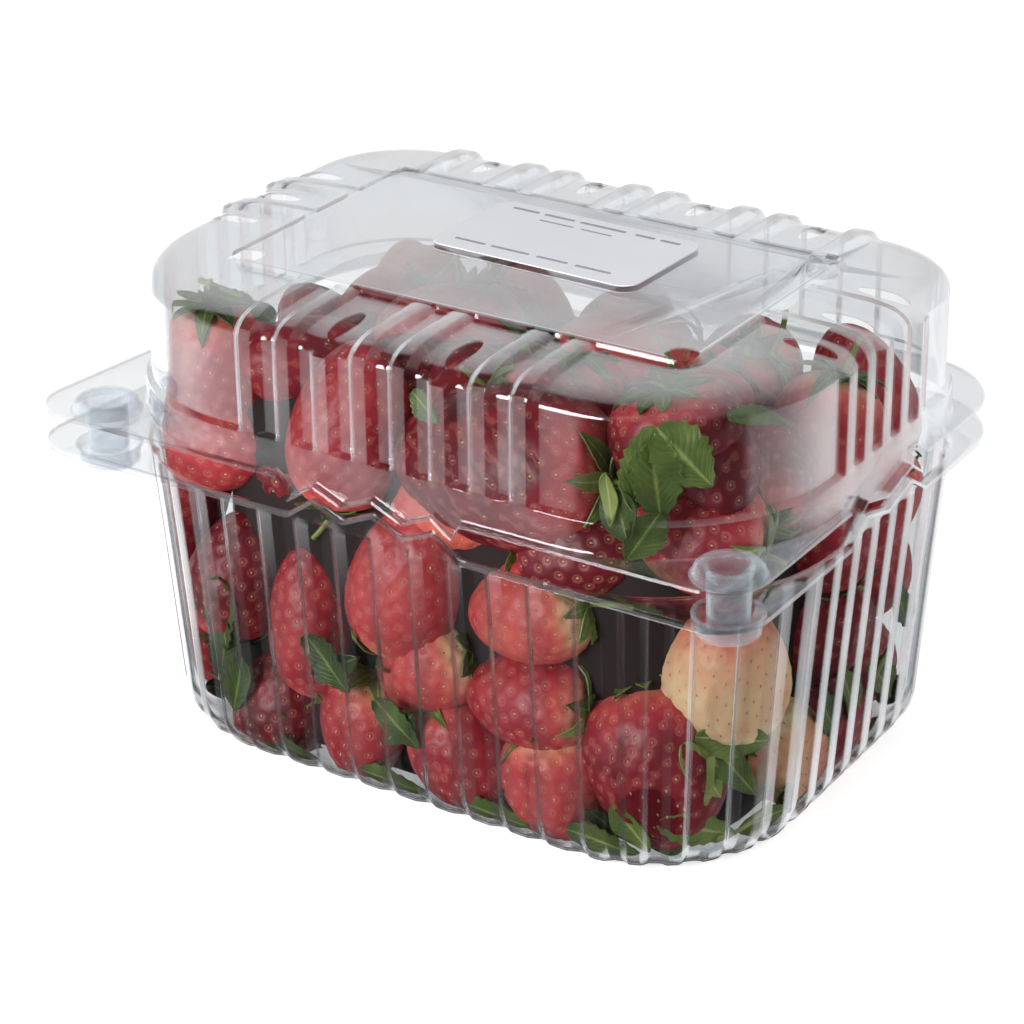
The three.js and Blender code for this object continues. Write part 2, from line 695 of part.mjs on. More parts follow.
const punnet = new THREE.Group();
punnet.add(piece('tub', makeTub(), clearPlastic));
punnet.add(piece('lid', makeLid(), lidPlastic));
punnet.add(piece('label', makeLabel(), paper));
punnet.add(piece('berries', makeBerries(), fruitSkin));

export default punnet;
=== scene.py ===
# %% [markdown]
# # Punnet of strawberries
# A clear moulded box with a hinged lid, shut over a heap of strawberries, with a paper label on top.
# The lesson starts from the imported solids, draws the two clear sheets round them as the mould does,
# and fills the box with whole fruit. Sizes are worked out in millimetres and scaled once at the end.

# %% Frame, units and sizes of the box
import math

import bmesh
import bpy
import numpy as np
from mathutils import Matrix, Vector


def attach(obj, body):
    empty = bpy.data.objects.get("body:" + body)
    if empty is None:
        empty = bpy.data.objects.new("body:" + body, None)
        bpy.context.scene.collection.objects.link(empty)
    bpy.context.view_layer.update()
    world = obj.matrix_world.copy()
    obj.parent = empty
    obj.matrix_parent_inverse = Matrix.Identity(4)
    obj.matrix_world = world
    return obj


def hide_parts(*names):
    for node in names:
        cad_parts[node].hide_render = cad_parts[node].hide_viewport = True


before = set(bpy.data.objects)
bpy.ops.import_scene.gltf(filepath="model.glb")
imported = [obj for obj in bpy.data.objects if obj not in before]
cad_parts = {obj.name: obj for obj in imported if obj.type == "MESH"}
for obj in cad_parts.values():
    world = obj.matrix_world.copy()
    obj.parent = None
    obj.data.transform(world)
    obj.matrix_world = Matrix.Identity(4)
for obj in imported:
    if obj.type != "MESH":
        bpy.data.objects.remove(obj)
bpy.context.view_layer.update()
MM = 0.001

HALF_LENGTH, HALF_WIDTH = 83.6, 59.4
FRONT_RADIUS, BACK_RADIUS = 42, 26.5
FRONT_X, BACK_X = HALF_LENGTH - FRONT_RADIUS, HALF_LENGTH - BACK_RADIUS
FRONT_Y, BACK_Y = FRONT_RADIUS - HALF_WIDTH, HALF_WIDTH - BACK_RADIUS
SIDE_Y = (FRONT_Y + BACK_Y) / 2
SHEET = 0.42
WALL_SLOPE, LEDGE_Z = 0.075, 70.2
LID_TOP = 115.0

# %% [markdown]
# ## Camera
# The photograph was taken with a long lens from the front right, a little above the lid. The place and
# the turn come from fitting the edges of the panel, the flanges and the foot.

# %% Camera
AZIMUTH, ROLL = math.radians(32.79), math.radians(-0.65)
back = Vector((0.4878, -0.7573, 0.4342)).normalized()
level = Vector((math.cos(AZIMUTH), math.sin(AZIMUTH), 0))
rise = back.cross(level)
right = math.cos(ROLL) * level + math.sin(ROLL) * rise
up = back.cross(right)

scene = bpy.context.scene
camera = bpy.data.objects.new("camera", bpy.data.cameras.new("camera"))
scene.collection.objects.link(camera)
camera.data.sensor_width = 36
camera.data.lens = 106.8
camera.data.clip_start = 0.05
camera.matrix_world = Matrix.Translation(Vector((331.41, -523.67, 351.03)) * MM) @ Matrix(
    (right, up, back)).transposed().to_4x4()
scene.camera = camera
scene.view_settings.view_transform = "Standard"
print("camera looks along", [round(v, 3) for v in -back])

# %% [markdown]
# ## Light
# The pack stood in a white light tent. Clear sheet shows what it mirrors more than anything else, so
# the tent is drawn by direction: bright walls, a dark roof, a dark table in front, and a dark gap on
# the right of the camera, which leaves the rounded corner of the lid clear. The fruit is lit from a low
# lamp in front, a weaker one on the right and a little from all round.

# %% World and lights
def put(tree, kind, inputs=(), **settings):
    """Adds a node; an input is a plain value or the socket of another node."""
    new = tree.nodes.new(kind)
    for name, value in settings.items():
        setattr(new, name, value)
    for key, value in dict(inputs).items():
        if isinstance(value, bpy.types.NodeSocket):
            tree.links.new(value, new.inputs[key])
        else:
            new.inputs[key].default_value = value
    return new


def math_node(tree, operation, a, b=0.0, c=0.0, clamp=False):
    new = put(tree, "ShaderNodeMath", {0: a, 1: b, 2: c}, operation=operation, use_clamp=clamp)
    return new.outputs[0]


def smooth_range(tree, value, low, high, to_low=0.0, to_high=1.0):
    new = put(tree, "ShaderNodeMapRange", {"Value": value, "From Min": low, "From Max": high,
                                           "To Min": to_low, "To Max": to_high}, interpolation_type="SMOOTHSTEP")
    return new.outputs["Result"]


world = bpy.data.worlds.new("tent")
scene.world = world
world.use_nodes = True
tree = world.node_tree
tree.nodes.clear()
direction = put(tree, "ShaderNodeTexCoord").outputs["Generated"]


def towards(tree, direction, aim, low, high):
    """1 where the direction lies near the aim, 0 away from it; low and high are cosines."""
    aim = Vector(aim).normalized()
    dot = put(tree, "ShaderNodeVectorMath", {0: direction, 1: aim}, operation="DOT_PRODUCT").outputs["Value"]
    return smooth_range(tree, dot, low, high)


# the way across the level, and the height, of each direction
level_way = put(tree, "ShaderNodeVectorMath", {0: direction, 1: (1, 1, 0)}, operation="MULTIPLY").outputs[0]
level_way = put(tree, "ShaderNodeVectorMath", {0: level_way}, operation="NORMALIZE").outputs[0]
height = put(tree, "ShaderNodeSeparateXYZ", {0: direction}).outputs["Z"]
gap = towards(tree, level_way, (0.559, -0.829, 0), 0.58, 0.68)
gap = math_node(tree, "MULTIPLY", gap, smooth_range(tree, height, 0.40, 0.70, 1.0, 0.0))
roof = towards(tree, direction, (-0.38, -0.40, 0.83), 0.80, 0.88)
front_wall = towards(tree, level_way, (-0.72, -0.69, 0), 0.80, 0.95)
right_wall = towards(tree, level_way, (0.54, 0.84, 0), 0.70, 0.95)
left_wall = towards(tree, direction, (-0.80, 0.42, -0.40), 0.86, 0.97)
table_edge = smooth_range(tree, height, -0.56, -0.46, 0.06, 1.0)
table_edge = math_node(tree, "MAXIMUM", table_edge, math_node(tree, "MULTIPLY", right_wall, 0.85))
mirrored = math_node(tree, "MULTIPLY_ADD", front_wall, 0.30, smooth_range(tree, height, -0.1, 0.35, 0.80, 0.72))
mirrored = math_node(tree, "MULTIPLY", table_edge, mirrored)
mirrored = math_node(tree, "MULTIPLY_ADD", right_wall, 0.25, mirrored)
mirrored = math_node(tree, "MULTIPLY_ADD", left_wall, 0.95, mirrored)
open_part = math_node(tree, "SUBTRACT", 1.0, math_node(tree, "MAXIMUM", gap, roof))
mirrored = math_node(tree, "MULTIPLY_ADD", mirrored, open_part, 0.03)
path = put(tree, "ShaderNodeLightPath")
SOFT_LIGHT, BACKDROP = 0.34, 1.0
glow = put(tree, "ShaderNodeMix", {"Factor": path.outputs["Is Glossy Ray"], "A": SOFT_LIGHT, "B": mirrored},
           data_type="FLOAT")
strength = put(tree, "ShaderNodeMix", {"Factor": path.outputs["Is Camera Ray"], "A": glow.outputs[0], "B": BACKDROP},
               data_type="FLOAT")
white = put(tree, "ShaderNodeBackground", {"Color": (1, 1, 1, 1), "Strength": strength.outputs[0]})
put(tree, "ShaderNodeOutputWorld", {"Surface": white.outputs[0]})


def area_light(name, place, size, power, mirrored):
    """A square lamp that points at the middle of the pack; the sheet and the fruit mirror it or not."""
    lamp = bpy.data.lights.new(name, "AREA")
    lamp.size = size
    lamp.energy = power
    holder = bpy.data.objects.new(name, lamp)
    scene.collection.objects.link(holder)
    holder.location = place
    holder.rotation_euler = (Vector((0, 0, 0.05)) - Vector(place)).to_track_quat("-Z", "Y").to_euler()
    holder.visible_glossy = mirrored
    return holder


key = area_light("key", (-0.25, -0.95, 0.42), 0.5, 13.0, True)
fill = area_light("fill", (0.8, -0.1, 0.6), 0.6, 4.0, False)
print("lights:", key.name, fill.name)

# %% [markdown]
# ## Meshes from outlines
# Both clear sheets are drawn like the mould cuts them: a closed line round the box, pulled from height
# to height. Every place on the line is known by its distance along the outline of the box, with its
# outward direction, the matching place on the edge of the flange and the one on the edge of the panel.

# %% Outline of the box
def quarter(radius):
    return radius * math.pi / 2


STRETCHES = [("front", 2 * FRONT_X), ("front_right", quarter(FRONT_RADIUS)), ("right", BACK_Y - FRONT_Y),
             ("back_right", quarter(BACK_RADIUS)), ("back", 2 * BACK_X), ("back_left", quarter(BACK_RADIUS)),
             ("left", BACK_Y - FRONT_Y), ("front_left", quarter(FRONT_RADIUS))]
STARTS = dict(zip([name for name, _ in STRETCHES], np.cumsum([0] + [length for _, length in STRETCHES])))
AROUND = sum(length for _, length in STRETCHES)
CORNERS = {"front_right": (1, -1, -90), "back_right": (1, 1, 0), "back_left": (-1, 1, 90), "front_left": (-1, -1, 180)}
PANEL_HALF, PANEL_CENTRE, PANEL_RADIUS = (58.6, 34.6), (0.8, -0.5), 5
FLANGE_LEFT, FLANGE_LEFT_BACK, FLANGE_RIGHT, FLANGE_FRONT, FLANGE_BACK = -96, -87, 86.5, -61.5, 69.7
CROWN_FRONT = ([-23.3, -16.5, -9, -1.5, 6, 13.5, 20.3], [0, 4.9, 1.8, 5.2, 1.8, 4.9, 0])
CROWN_SIDE = ([-13.4, -6.3, 4.1, 14.5, 21.6], [0, 4.6, 1.8, 4.6, 0])


def flange_left(y):
    t = min(1, max(0, (y + 48) / 76))
    return FLANGE_LEFT + (FLANGE_LEFT_BACK - FLANGE_LEFT) * t * t * (3 - 2 * t)


def place(distance):
    """Outline x, y, normal x, y, flange x, y, panel x, y and crown height at a distance round the box."""
    s = distance % AROUND
    for name, length in STRETCHES:
        if s <= length:
            break
        s -= length
    cx, cy = PANEL_CENTRE
    if name == "front":
        x = s - FRONT_X
        return x, -HALF_WIDTH, 0, -1, x, FLANGE_FRONT, x, cy - PANEL_HALF[1], np.interp(x, *CROWN_FRONT)
    if name == "right":
        y = FRONT_Y + s
        return HALF_LENGTH, y, 1, 0, FLANGE_RIGHT, y, cx + PANEL_HALF[0], y, np.interp(y, *CROWN_SIDE)
    if name == "back":
        x = BACK_X - s
        return x, HALF_WIDTH, 0, 1, x, FLANGE_BACK, x, cy + PANEL_HALF[1], 0
    if name == "left":
        y = BACK_Y - s
        return -HALF_LENGTH, y, -1, 0, flange_left(y), y, cx - PANEL_HALF[0], y, np.interp(y, *CROWN_SIDE)
    sx, sy, start = CORNERS[name]
    radius, near, far = (FRONT_RADIUS, FRONT_X, FRONT_Y) if sy < 0 else (BACK_RADIUS, BACK_X, BACK_Y)
    angle = math.radians(start) + s / radius
    nx, ny = math.cos(angle), math.sin(angle)
    edge = 12 if sy < 0 else 24
    edge_x = FLANGE_RIGHT if sx > 0 else FLANGE_LEFT if sy < 0 else FLANGE_LEFT_BACK
    edge_y = FLANGE_FRONT if sy < 0 else FLANGE_BACK
    return (sx * near + nx * radius, far + ny * radius, nx, ny,
            edge_x - sx * edge + nx * edge, edge_y - sy * edge + ny * edge,
            cx + sx * (PANEL_HALF[0] - PANEL_RADIUS) + nx * PANEL_RADIUS,
            cy + sy * (PANEL_HALF[1] - PANEL_RADIUS) + ny * PANEL_RADIUS, 0)


print("the outline starts at", [round(float(v), 1) for v in place(0)[:2]])

# %% [markdown]
# Both sheets are stiffened by upright ridges. A ridge is a small smooth wave in the distance round the
# box, so its section is two short lists: how far from its middle, and how high there.

# %% Ridges
RIDGE_AT = [1.5, 1.8, 2.05, 2.3, 2.95, 3.2, 3.45, 3.75]
RIDGE_HEIGHT = [1.0, 0.965, 0.87, 0.717, 0.283, 0.13, 0.035, 0.0]


def evenly(count, pitch, middle=0.0):
    return middle + (np.arange(count) - (count - 1) / 2) * pitch


def ridge_places(front, sides, back, corners):
    """Distances round the box of the ridge middles, from their places on each side."""
    found = list(STARTS["front"] + front + FRONT_X) + list(STARTS["right"] + sides - FRONT_Y)
    found += list(STARTS["back"] + BACK_X - back) + list(STARTS["left"] + BACK_Y - sides)
    for name, count in corners.items():
        length = quarter(FRONT_RADIUS if name.startswith("front") else BACK_RADIUS)
        found += [STARTS[name] + (i + 0.675) / (count + 0.35) * length for i in range(count)]
    return np.array(sorted(found))


def proud(distances, ridges):
    """Height of the corrugation, 0 in a groove and 1 on a ridge."""
    if len(ridges) == 0:
        return np.zeros(len(distances))
    apart = np.abs((distances[:, None] - ridges[None, :] + AROUND / 2) % AROUND - AROUND / 2)
    return np.interp(apart.min(axis=1), RIDGE_AT, RIDGE_HEIGHT)


def stations(ridges):
    """Distances round the box where the sheet needs a point."""
    offsets = np.array([-v for v in RIDGE_AT[::-1]] + RIDGE_AT)
    marks = [ridges[:, None] + offsets[None, :], STARTS["front"] + FRONT_X + np.array(CROWN_FRONT[0]),
             STARTS["right"] - FRONT_Y + np.array(CROWN_SIDE[0]), STARTS["left"] + BACK_Y - np.array(CROWN_SIDE[0])]
    for name in CORNERS:
        marks.append(STARTS[name] + np.linspace(0, dict(STRETCHES)[name], 19))
    marks = np.unique(np.round(np.concatenate([np.ravel(m) for m in marks]) % AROUND, 2))
    keep = np.diff(marks, append=marks[0] + AROUND) > 0.25
    return marks[keep]


tub_ridges = ridge_places(evenly(9, 9.75, -1.4), evenly(6, 8.4, SIDE_Y), evenly(11, 9.75),
                          {"front_right": 6, "front_left": 6, "back_right": 4, "back_left": 4})
lid_front, lid_sides, lid_back = evenly(8, 9.75), evenly(5, 8.4, SIDE_Y - 1.2), evenly(12, 9.75) * 0.985
lid_ridges = ridge_places(lid_front, lid_sides, lid_back, {})
FRONT_VENTS, SIDE_VENTS, BACK_VENTS = [2, 5], [0, 2, 4], [1, 4, 7, 10]
top_ridges = ridge_places(np.delete(lid_front, FRONT_VENTS), np.delete(lid_sides, SIDE_VENTS),
                          np.delete(lid_back, BACK_VENTS), {})
print("round the box", round(AROUND, 1), "mm, ridges:", len(tub_ridges), "on the tub,", len(lid_ridges), "on the lid")


# %% [markdown]
# A ring of points is one closed line of edges. Each further ring is pulled out of the last one with the
# extrude operator and set in its place, so the faces between them come from the operator.

# %% Rings and pieces
def loft(bm, rings):
    """Pulls a closed line of edges from ring to ring; returns the edges of the first and last ring."""
    points = [bm.verts.new(p) for p in rings[0]]
    edges = [bm.edges.new(pair) for pair in zip(points, points[1:] + points[:1])]
    first = edges
    for ring in rings[1:]:
        out = bmesh.ops.extrude_edge_only(bm, edges=edges)["geom"]
        fresh = {v for v in out if isinstance(v, bmesh.types.BMVert)}
        points = [next(e.other_vert(v) for e in v.link_edges if e.other_vert(v) in fresh) for v in points]
        for vert, p in zip(points, ring):
            vert.co = p
        edges = [e for e in out if isinstance(e, bmesh.types.BMEdge) and e.verts[0] in fresh and e.verts[1] in fresh]
    return first, edges


def turned(bm, profile, centre, steps):
    """A shape of revolution about an upright axis, spun from points of radius and height."""
    line = [bm.verts.new((centre[0] + r, centre[1], z)) for r, z in profile]
    edges = [bm.edges.new(pair) for pair in zip(line, line[1:])]
    return bmesh.ops.spin(bm, geom=line + edges, cent=(*centre, 0), axis=(0, 0, 1), angle=2 * math.pi,
                          steps=steps, use_merge=True)


def show(name, bm, material, body, smooth_angle=35.0, normals=True):
    """Makes an object of a mesh in millimetres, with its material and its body."""
    if normals:
        bmesh.ops.recalc_face_normals(bm, faces=bm.faces)
    bmesh.ops.scale(bm, vec=(MM, MM, MM), verts=bm.verts)
    for face in bm.faces:
        face.smooth = True
    mesh = bpy.data.meshes.new(name)
    bm.to_mesh(mesh)
    bm.free()
    mesh.set_sharp_from_angle(angle=math.radians(smooth_angle))
    mesh.materials.append(material)
    thing = bpy.data.objects.new(name, mesh)
    scene.collection.objects.link(thing)
    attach(thing, body)
    print(name, len(mesh.polygons), "faces")
    return thing


def sheet_rings(distances, ridges, upper, rows):
    """Rings of a clear sheet. A row is: edge, inset, height, ridge out, ridge up, share of the crown."""
    spots = np.array([place(s) for s in distances])
    crown = spots[:, 8]
    height = {"wall": proud(distances, ridges), "top": proud(distances, upper)}
    rings = []
    for edge, inset, z, out, lift, share in rows:
        ridge = height["top" if edge in ("top", "panel") else "wall"]
        if edge == "flange":
            x, y = spots[:, 4] - spots[:, 2] * inset, spots[:, 5] - spots[:, 3] * inset
        elif edge == "panel":
            x, y = spots[:, 6] - spots[:, 2] * inset, spots[:, 7] - spots[:, 3] * inset
        else:
            reach = out * ridge - inset
            x, y = spots[:, 0] + spots[:, 2] * reach, spots[:, 1] + spots[:, 3] * reach
        rings.append(np.stack([x, y, z + lift * ridge + share(crown)], axis=1))
    return rings


def flat(crown):
    return 0 * crown


def follow(crown):
    return crown


CROWN_FOOT, CROWN_GAP, LID_EDGE_Z = 71.5, 2.3, 78.8


def hang(crown):
    """The edge of the lid dips beside the crown of the tub and stays level over its peaks."""
    return np.where(crown > 0, np.minimum(0, crown + CROWN_FOOT + CROWN_GAP - LID_EDGE_Z), 0)


# %% [markdown]
# ## Clear sheet
# Thin moulded sheet is nearly invisible face on and mirrors more the flatter it is seen. The share that
# it mirrors follows the angle, on both faces alike; the rest passes straight through with a faint tint.

# %% Clear sheet materials
def new_material(name):
    material = bpy.data.materials.new(name)
    material.use_nodes = True
    material.node_tree.nodes.clear()
    return material, material.node_tree


def object_spot(tree):
    return put(tree, "ShaderNodeTexCoord").outputs["Object"]


def noise(tree, spot, scale, detail):
    return put(tree, "ShaderNodeTexNoise", {"Vector": spot, "Scale": scale, "Detail": detail}).outputs["Fac"]


def surface(tree, shader):
    put(tree, "ShaderNodeOutputMaterial", {"Surface": shader.outputs[0]})


def clear_sheet(name, scratch_share):
    """Clear sheet with faint smears and, by its share, fine scratches."""
    material, tree = new_material(name)
    spot = object_spot(tree)
    facing = put(tree, "ShaderNodeLayerWeight", {"Blend": 0.5}).outputs["Facing"]
    grazing = math_node(tree, "POWER", facing, 2.6)
    mirror = math_node(tree, "MULTIPLY_ADD", grazing, 1.25, 0.030)
    smear = smooth_range(tree, noise(tree, spot, 38.0, 1.0), 0.35, 0.75, 0.86, 1.22)
    stretched = put(tree, "ShaderNodeMapping", {"Vector": spot, "Rotation": (0, 0, 0.5), "Scale": (60, 900, 60)})
    scratch = smooth_range(tree, noise(tree, stretched.outputs[0], 1.0, 1.0), 0.66, 0.74, 0.0, scratch_share)
    share = math_node(tree, "MULTIPLY_ADD", mirror, smear, scratch, clamp=True)
    rough = math_node(tree, "MULTIPLY_ADD", scratch, 1.5, 0.06)
    through = put(tree, "ShaderNodeBsdfTransparent", {"Color": (0.905, 0.915, 0.920, 1)})
    gloss = put(tree, "ShaderNodeBsdfGlossy", {"Color": (0.98, 0.985, 1.0, 1), "Roughness": rough})
    mixed = put(tree, "ShaderNodeMixShader", {0: share, 1: through.outputs[0], 2: gloss.outputs[0]})
    surface(tree, mixed)
    return material


def milky_sheet(name):
    """Sheet drawn deep in the mould, which comes out slightly milky: white shows more than a mirror does."""
    material, tree = new_material(name)
    spot = object_spot(tree)
    facing = put(tree, "ShaderNodeLayerWeight", {"Blend": 0.5}).outputs["Facing"]
    milk = smooth_range(tree, noise(tree, spot, 260.0, 2.0), 0.3, 0.7, 0.02, 0.07)
    share = math_node(tree, "MULTIPLY_ADD", math_node(tree, "POWER", facing, 3.0), 0.55, milk, clamp=True)
    through = put(tree, "ShaderNodeBsdfTransparent", {"Color": (0.93, 0.945, 0.96, 1)})
    white = put(tree, "ShaderNodeBsdfPrincipled", {"Base Color": (0.80, 0.85, 0.90, 1), "Roughness": 0.22})
    mixed = put(tree, "ShaderNodeMixShader", {0: share, 1: through.outputs[0], 2: white.outputs[0]})
    surface(tree, mixed)
    return material


milky = milky_sheet("button_sheet")
tub_sheet = clear_sheet("tub_sheet", 0.02)
lid_sheet = clear_sheet("lid_sheet", 0.05)
print("sheet materials:", tub_sheet.name, lid_sheet.name)

# %% [markdown]
# ## Tub
# The wall leans out by a few degrees, its ridges run from the curved foot to a short ledge under the
# flange, and the flange carries the zigzag crown and the sockets for the two snap buttons.

# %% Tub
def lean(z):
    """How far the wall stands in from the outline at a height above the foot."""
    return WALL_SLOPE * (LEDGE_Z - z)


TUB_ROWS = [
    ("wall", 24, 1.7, 0, 0, flat), ("wall", 19, 1.7, 0, 0, flat), ("wall", 17.4, 0.5, 0, 0, flat),
    ("wall", 16, 0, 0, 0, flat), ("wall", 14.2, 0, 0, 0, flat), ("wall", 12.4, 0.6, 0.5, 0, flat),
    ("wall", 10.7, 1.8, 1.2, 0, flat), ("wall", 9.2, 3.3, 1.6, 0, flat), ("wall", 7.8, 5.2, 1.6, 0, flat),
    ("wall", 6.7, 7.5, 1.6, 0, flat), ("wall", 6.1, 10, 1.6, 0, flat), ("wall", 1.6 + lean(30), 30, 1.6, 0, flat),
    ("wall", 1.6 + lean(50), 50, 1.6, 0, flat), ("wall", 1.65, 67.6, 1.6, 0, flat),
    ("wall", 1.55, 68.5, 1.5, 0, flat), ("wall", 1.0, 69.1, 0.95, 0, flat), ("wall", 0.35, 69.5, 0.3, 0, flat),
    ("wall", 0, 70.0, 0, 0, follow), ("wall", -0.1, 70.5, 0, 0, follow), ("wall", -0.45, 70.9, 0, 0, follow),
    ("wall", -0.9, 71.02, 0, 0, follow), ("wall", -1.2, 71.02, 0, 0, follow), ("flange", 1.3, 71.02, 0, 0, follow),
    ("flange", 1.1, 71.0, 0, 0, follow), ("flange", 0.6, 70.85, 0, 0, follow), ("flange", 0.45, 70.2, 0, 0, follow),
]


def thicken(bm, thickness, tool=None):
    """Gives an open sheet its second face on the inside, closes its edges and takes the tool away from it."""
    bmesh.ops.recalc_face_normals(bm, faces=bm.faces)
    middle = sum((v.co for v in bm.verts), Vector()) / len(bm.verts)
    if sum(f.normal.dot(f.calc_center_median() - middle) * f.calc_area() for f in bm.faces) < 0:
        bmesh.ops.reverse_faces(bm, faces=bm.faces)
    mesh = bpy.data.meshes.new("blank")
    bm.to_mesh(mesh)
    blank = bpy.data.objects.new("blank", mesh)
    scene.collection.objects.link(blank)
    wall = blank.modifiers.new("wall", "SOLIDIFY")
    wall.thickness = thickness
    wall.offset = -1
    wall.use_even_offset = False
    if tool:
        difference = blank.modifiers.new("holes", "BOOLEAN")
        difference.object = tool
        difference.operation = "DIFFERENCE"
        difference.solver = "EXACT"
    bpy.context.view_layer.update()
    done = bpy.data.meshes.new_from_object(blank.evaluated_get(bpy.context.evaluated_depsgraph_get()))
    bm.clear()
    bm.from_mesh(done)
    bpy.data.objects.remove(blank)
    for leftover in (mesh, done):
        bpy.data.meshes.remove(leftover)
    return bm


BUTTONS = [(-78.7, -52.6), (78.7, -52.6)]
tub_places = stations(tub_ridges)
bm = bmesh.new()
inner_edge, _ = loft(bm, sheet_rings(tub_places, tub_ridges, tub_ridges, TUB_ROWS))
bmesh.ops.contextual_create(bm, geom=inner_edge)
thicken(bm, SHEET)
tub = show("tub_shell", bm, tub_sheet, "tub", smooth_angle=24, normals=False)
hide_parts("tub")


def turned_pair(name, profile, steps, body):
    """The same turned cup in both ears, as one piece."""
    bm = bmesh.new()
    for spot in BUTTONS:
        cup = bmesh.new()
        turned(cup, profile, spot, steps)
        thicken(cup, SHEET)
        part = bpy.data.meshes.new(name)
        cup.to_mesh(part)
        cup.free()
        bm.from_mesh(part)
        bpy.data.meshes.remove(part)
    return show(name, bm, milky, body, normals=False)


SOCKET_PROFILE = [(7.6, 71.42), (7.1, 71.2), (6.9, 70.4), (6.7, 67.6), (6.2, 67.1), (0, 67.1)]
turned_pair("tub_sockets", SOCKET_PROFILE, 40, "tub")

# %% [markdown]
# ## Lid
# The top has a raised panel with a rounded edge. Ridges run from the panel over the shoulder and down
# the wall; every third one stops at the shoulder, and an open slot takes its place on the top.

# %% Lid
LID_ROWS = [
    ("panel", 1.9, 114.1, 0, 0, flat), ("panel", 1.3, 114.4, 0, 0, flat), ("panel", 0.7, 114.5, 0, 0, flat),
    ("panel", 0.2, 114.3, 0, 0, flat), ("panel", -0.2, 113.5, 0, 0.6, flat), ("panel", -0.9, 112.95, 0, 1.3, flat),
    ("top", 9.5, 112.3, 0, 1.6, flat), ("top", 6.6, 111.9, 0.3, 1.5, flat), ("top", 4.6, 111.3, 0.7, 1.4, flat),
    ("top", 3.2, 110.55, 1.2, 1.1, flat), ("top", 2.2, 109.6, 1.5, 0.7, flat), ("wall", 1.62, 108.4, 1.6, 0, flat),
    ("wall", 1.6, 100, 1.6, 0, flat), ("wall", 1.6, 88.2, 1.6, 0, flat), ("wall", 1.5, 87.4, 1.5, 0, flat),
    ("wall", 0.9, 86.9, 0.9, 0, flat), ("wall", 0.2, 86.5, 0.2, 0, flat), ("wall", 0, 86.0, 0, 0, flat),
    ("wall", -0.1, 83, 0, 0, flat), ("wall", -0.2, 80.5, 0, 0, hang), ("wall", -0.45, 79.9, 0, 0, hang),
    ("wall", -0.9, 79.7, 0, 0, hang), ("wall", -1.2, 79.7, 0, 0, hang), ("flange", 1.2, 79.7, 0, 0, hang),
    ("flange", 1.0, 79.68, 0, 0, hang), ("flange", 0.4, 79.5, 0, 0, hang), ("flange", 0.2, 78.9, 0, 0, hang),
]
lid_places = stations(lid_ridges)
bm = bmesh.new()
inner_edge, _ = loft(bm, sheet_rings(lid_places, lid_ridges, top_ridges, LID_ROWS))
bmesh.ops.contextual_create(bm, geom=inner_edge)

HOLE_AT, HOLE_RADIUS = (54.4, 30.6), 3.6
SLOT_SIZE, SLOT_INSET = (12.5, 4.6), 10.2


def cutter(name):
    """One mesh with every hole of the lid: four round ones in the panel and the slots in the shoulder."""
    bm = bmesh.new()
    cx, cy = PANEL_CENTRE
    for sx in (-1, 1):
        for sy in (-1, 1):
            turn = Matrix.Translation((cx + sx * HOLE_AT[0], cy + sy * HOLE_AT[1], 114))
            bmesh.ops.create_cone(bm, segments=40, radius1=HOLE_RADIUS, radius2=HOLE_RADIUS, depth=6,
                                  cap_ends=True, matrix=turn)
    along, across = SLOT_SIZE
    slots = [(lid_front[i], SLOT_INSET - HALF_WIDTH, across, along) for i in FRONT_VENTS]
    slots += [(lid_back[i], HALF_WIDTH - SLOT_INSET, across, along) for i in BACK_VENTS]
    slots += [(side * (HALF_LENGTH - SLOT_INSET), lid_sides[i], along, across) for i in SIDE_VENTS for side in (-1, 1)]
    for x, y, wide, deep in slots:
        turn = Matrix.Translation((x, y, 112)) @ Matrix.Diagonal((wide / 2, deep / 2, 1, 1))
        bmesh.ops.create_cone(bm, segments=36, radius1=1, radius2=1, depth=14, cap_ends=True, matrix=turn)
    mesh = bpy.data.meshes.new(name)
    bm.to_mesh(mesh)
    bm.free()
    thing = bpy.data.objects.new(name, mesh)
    scene.collection.objects.link(thing)
    return thing


holes = cutter("holes")
thicken(bm, SHEET, holes)
# an end of the cutter can stay behind above the panel
bmesh.ops.delete(bm, geom=[v for v in bm.verts if v.co.z > LID_TOP + 0.2], context="VERTS")
bpy.data.objects.remove(holes)
BUTTON_PROFILE = [(7.9, 79.7), (7.35, 80.0), (7.0, 80.8), (6.85, 81.5), (6.4, 82.0), (5.8, 82.1), (5.2, 81.9),
                  (4.85, 81.3), (4.7, 80.0), (4.55, 75.0), (4.45, 71.2), (4.1, 70.5), (3.4, 70.3), (0, 70.3)]
lid = show("lid_shell", bm, lid_sheet, "lid", smooth_angle=24, normals=False)
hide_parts("lid")
turned_pair("lid_buttons", BUTTON_PROFILE, 48, "lid")

# %% [markdown]
# ## Label
# The coated paper label is blank here but for grey bars where the real one is printed.

# %% Label
paper, tree = new_material("label_paper")
spot = object_spot(tree)
fibre = noise(tree, spot, 900.0, 2.0)
cloud = noise(tree, spot, 45.0, 2.0)
pale = put(tree, "ShaderNodeMix", {"Factor": cloud, "A": (0.73, 0.745, 0.79, 1), "B": (0.80, 0.81, 0.84, 1)},
           data_type="RGBA")
bump = put(tree, "ShaderNodeBump", {"Height": fibre, "Strength": 0.06, "Distance": 0.0002})
shader = put(tree, "ShaderNodeBsdfPrincipled",
             {"Base Color": pale.outputs[2], "Roughness": 0.42, "Normal": bump.outputs[0]})
surface(tree, shader)

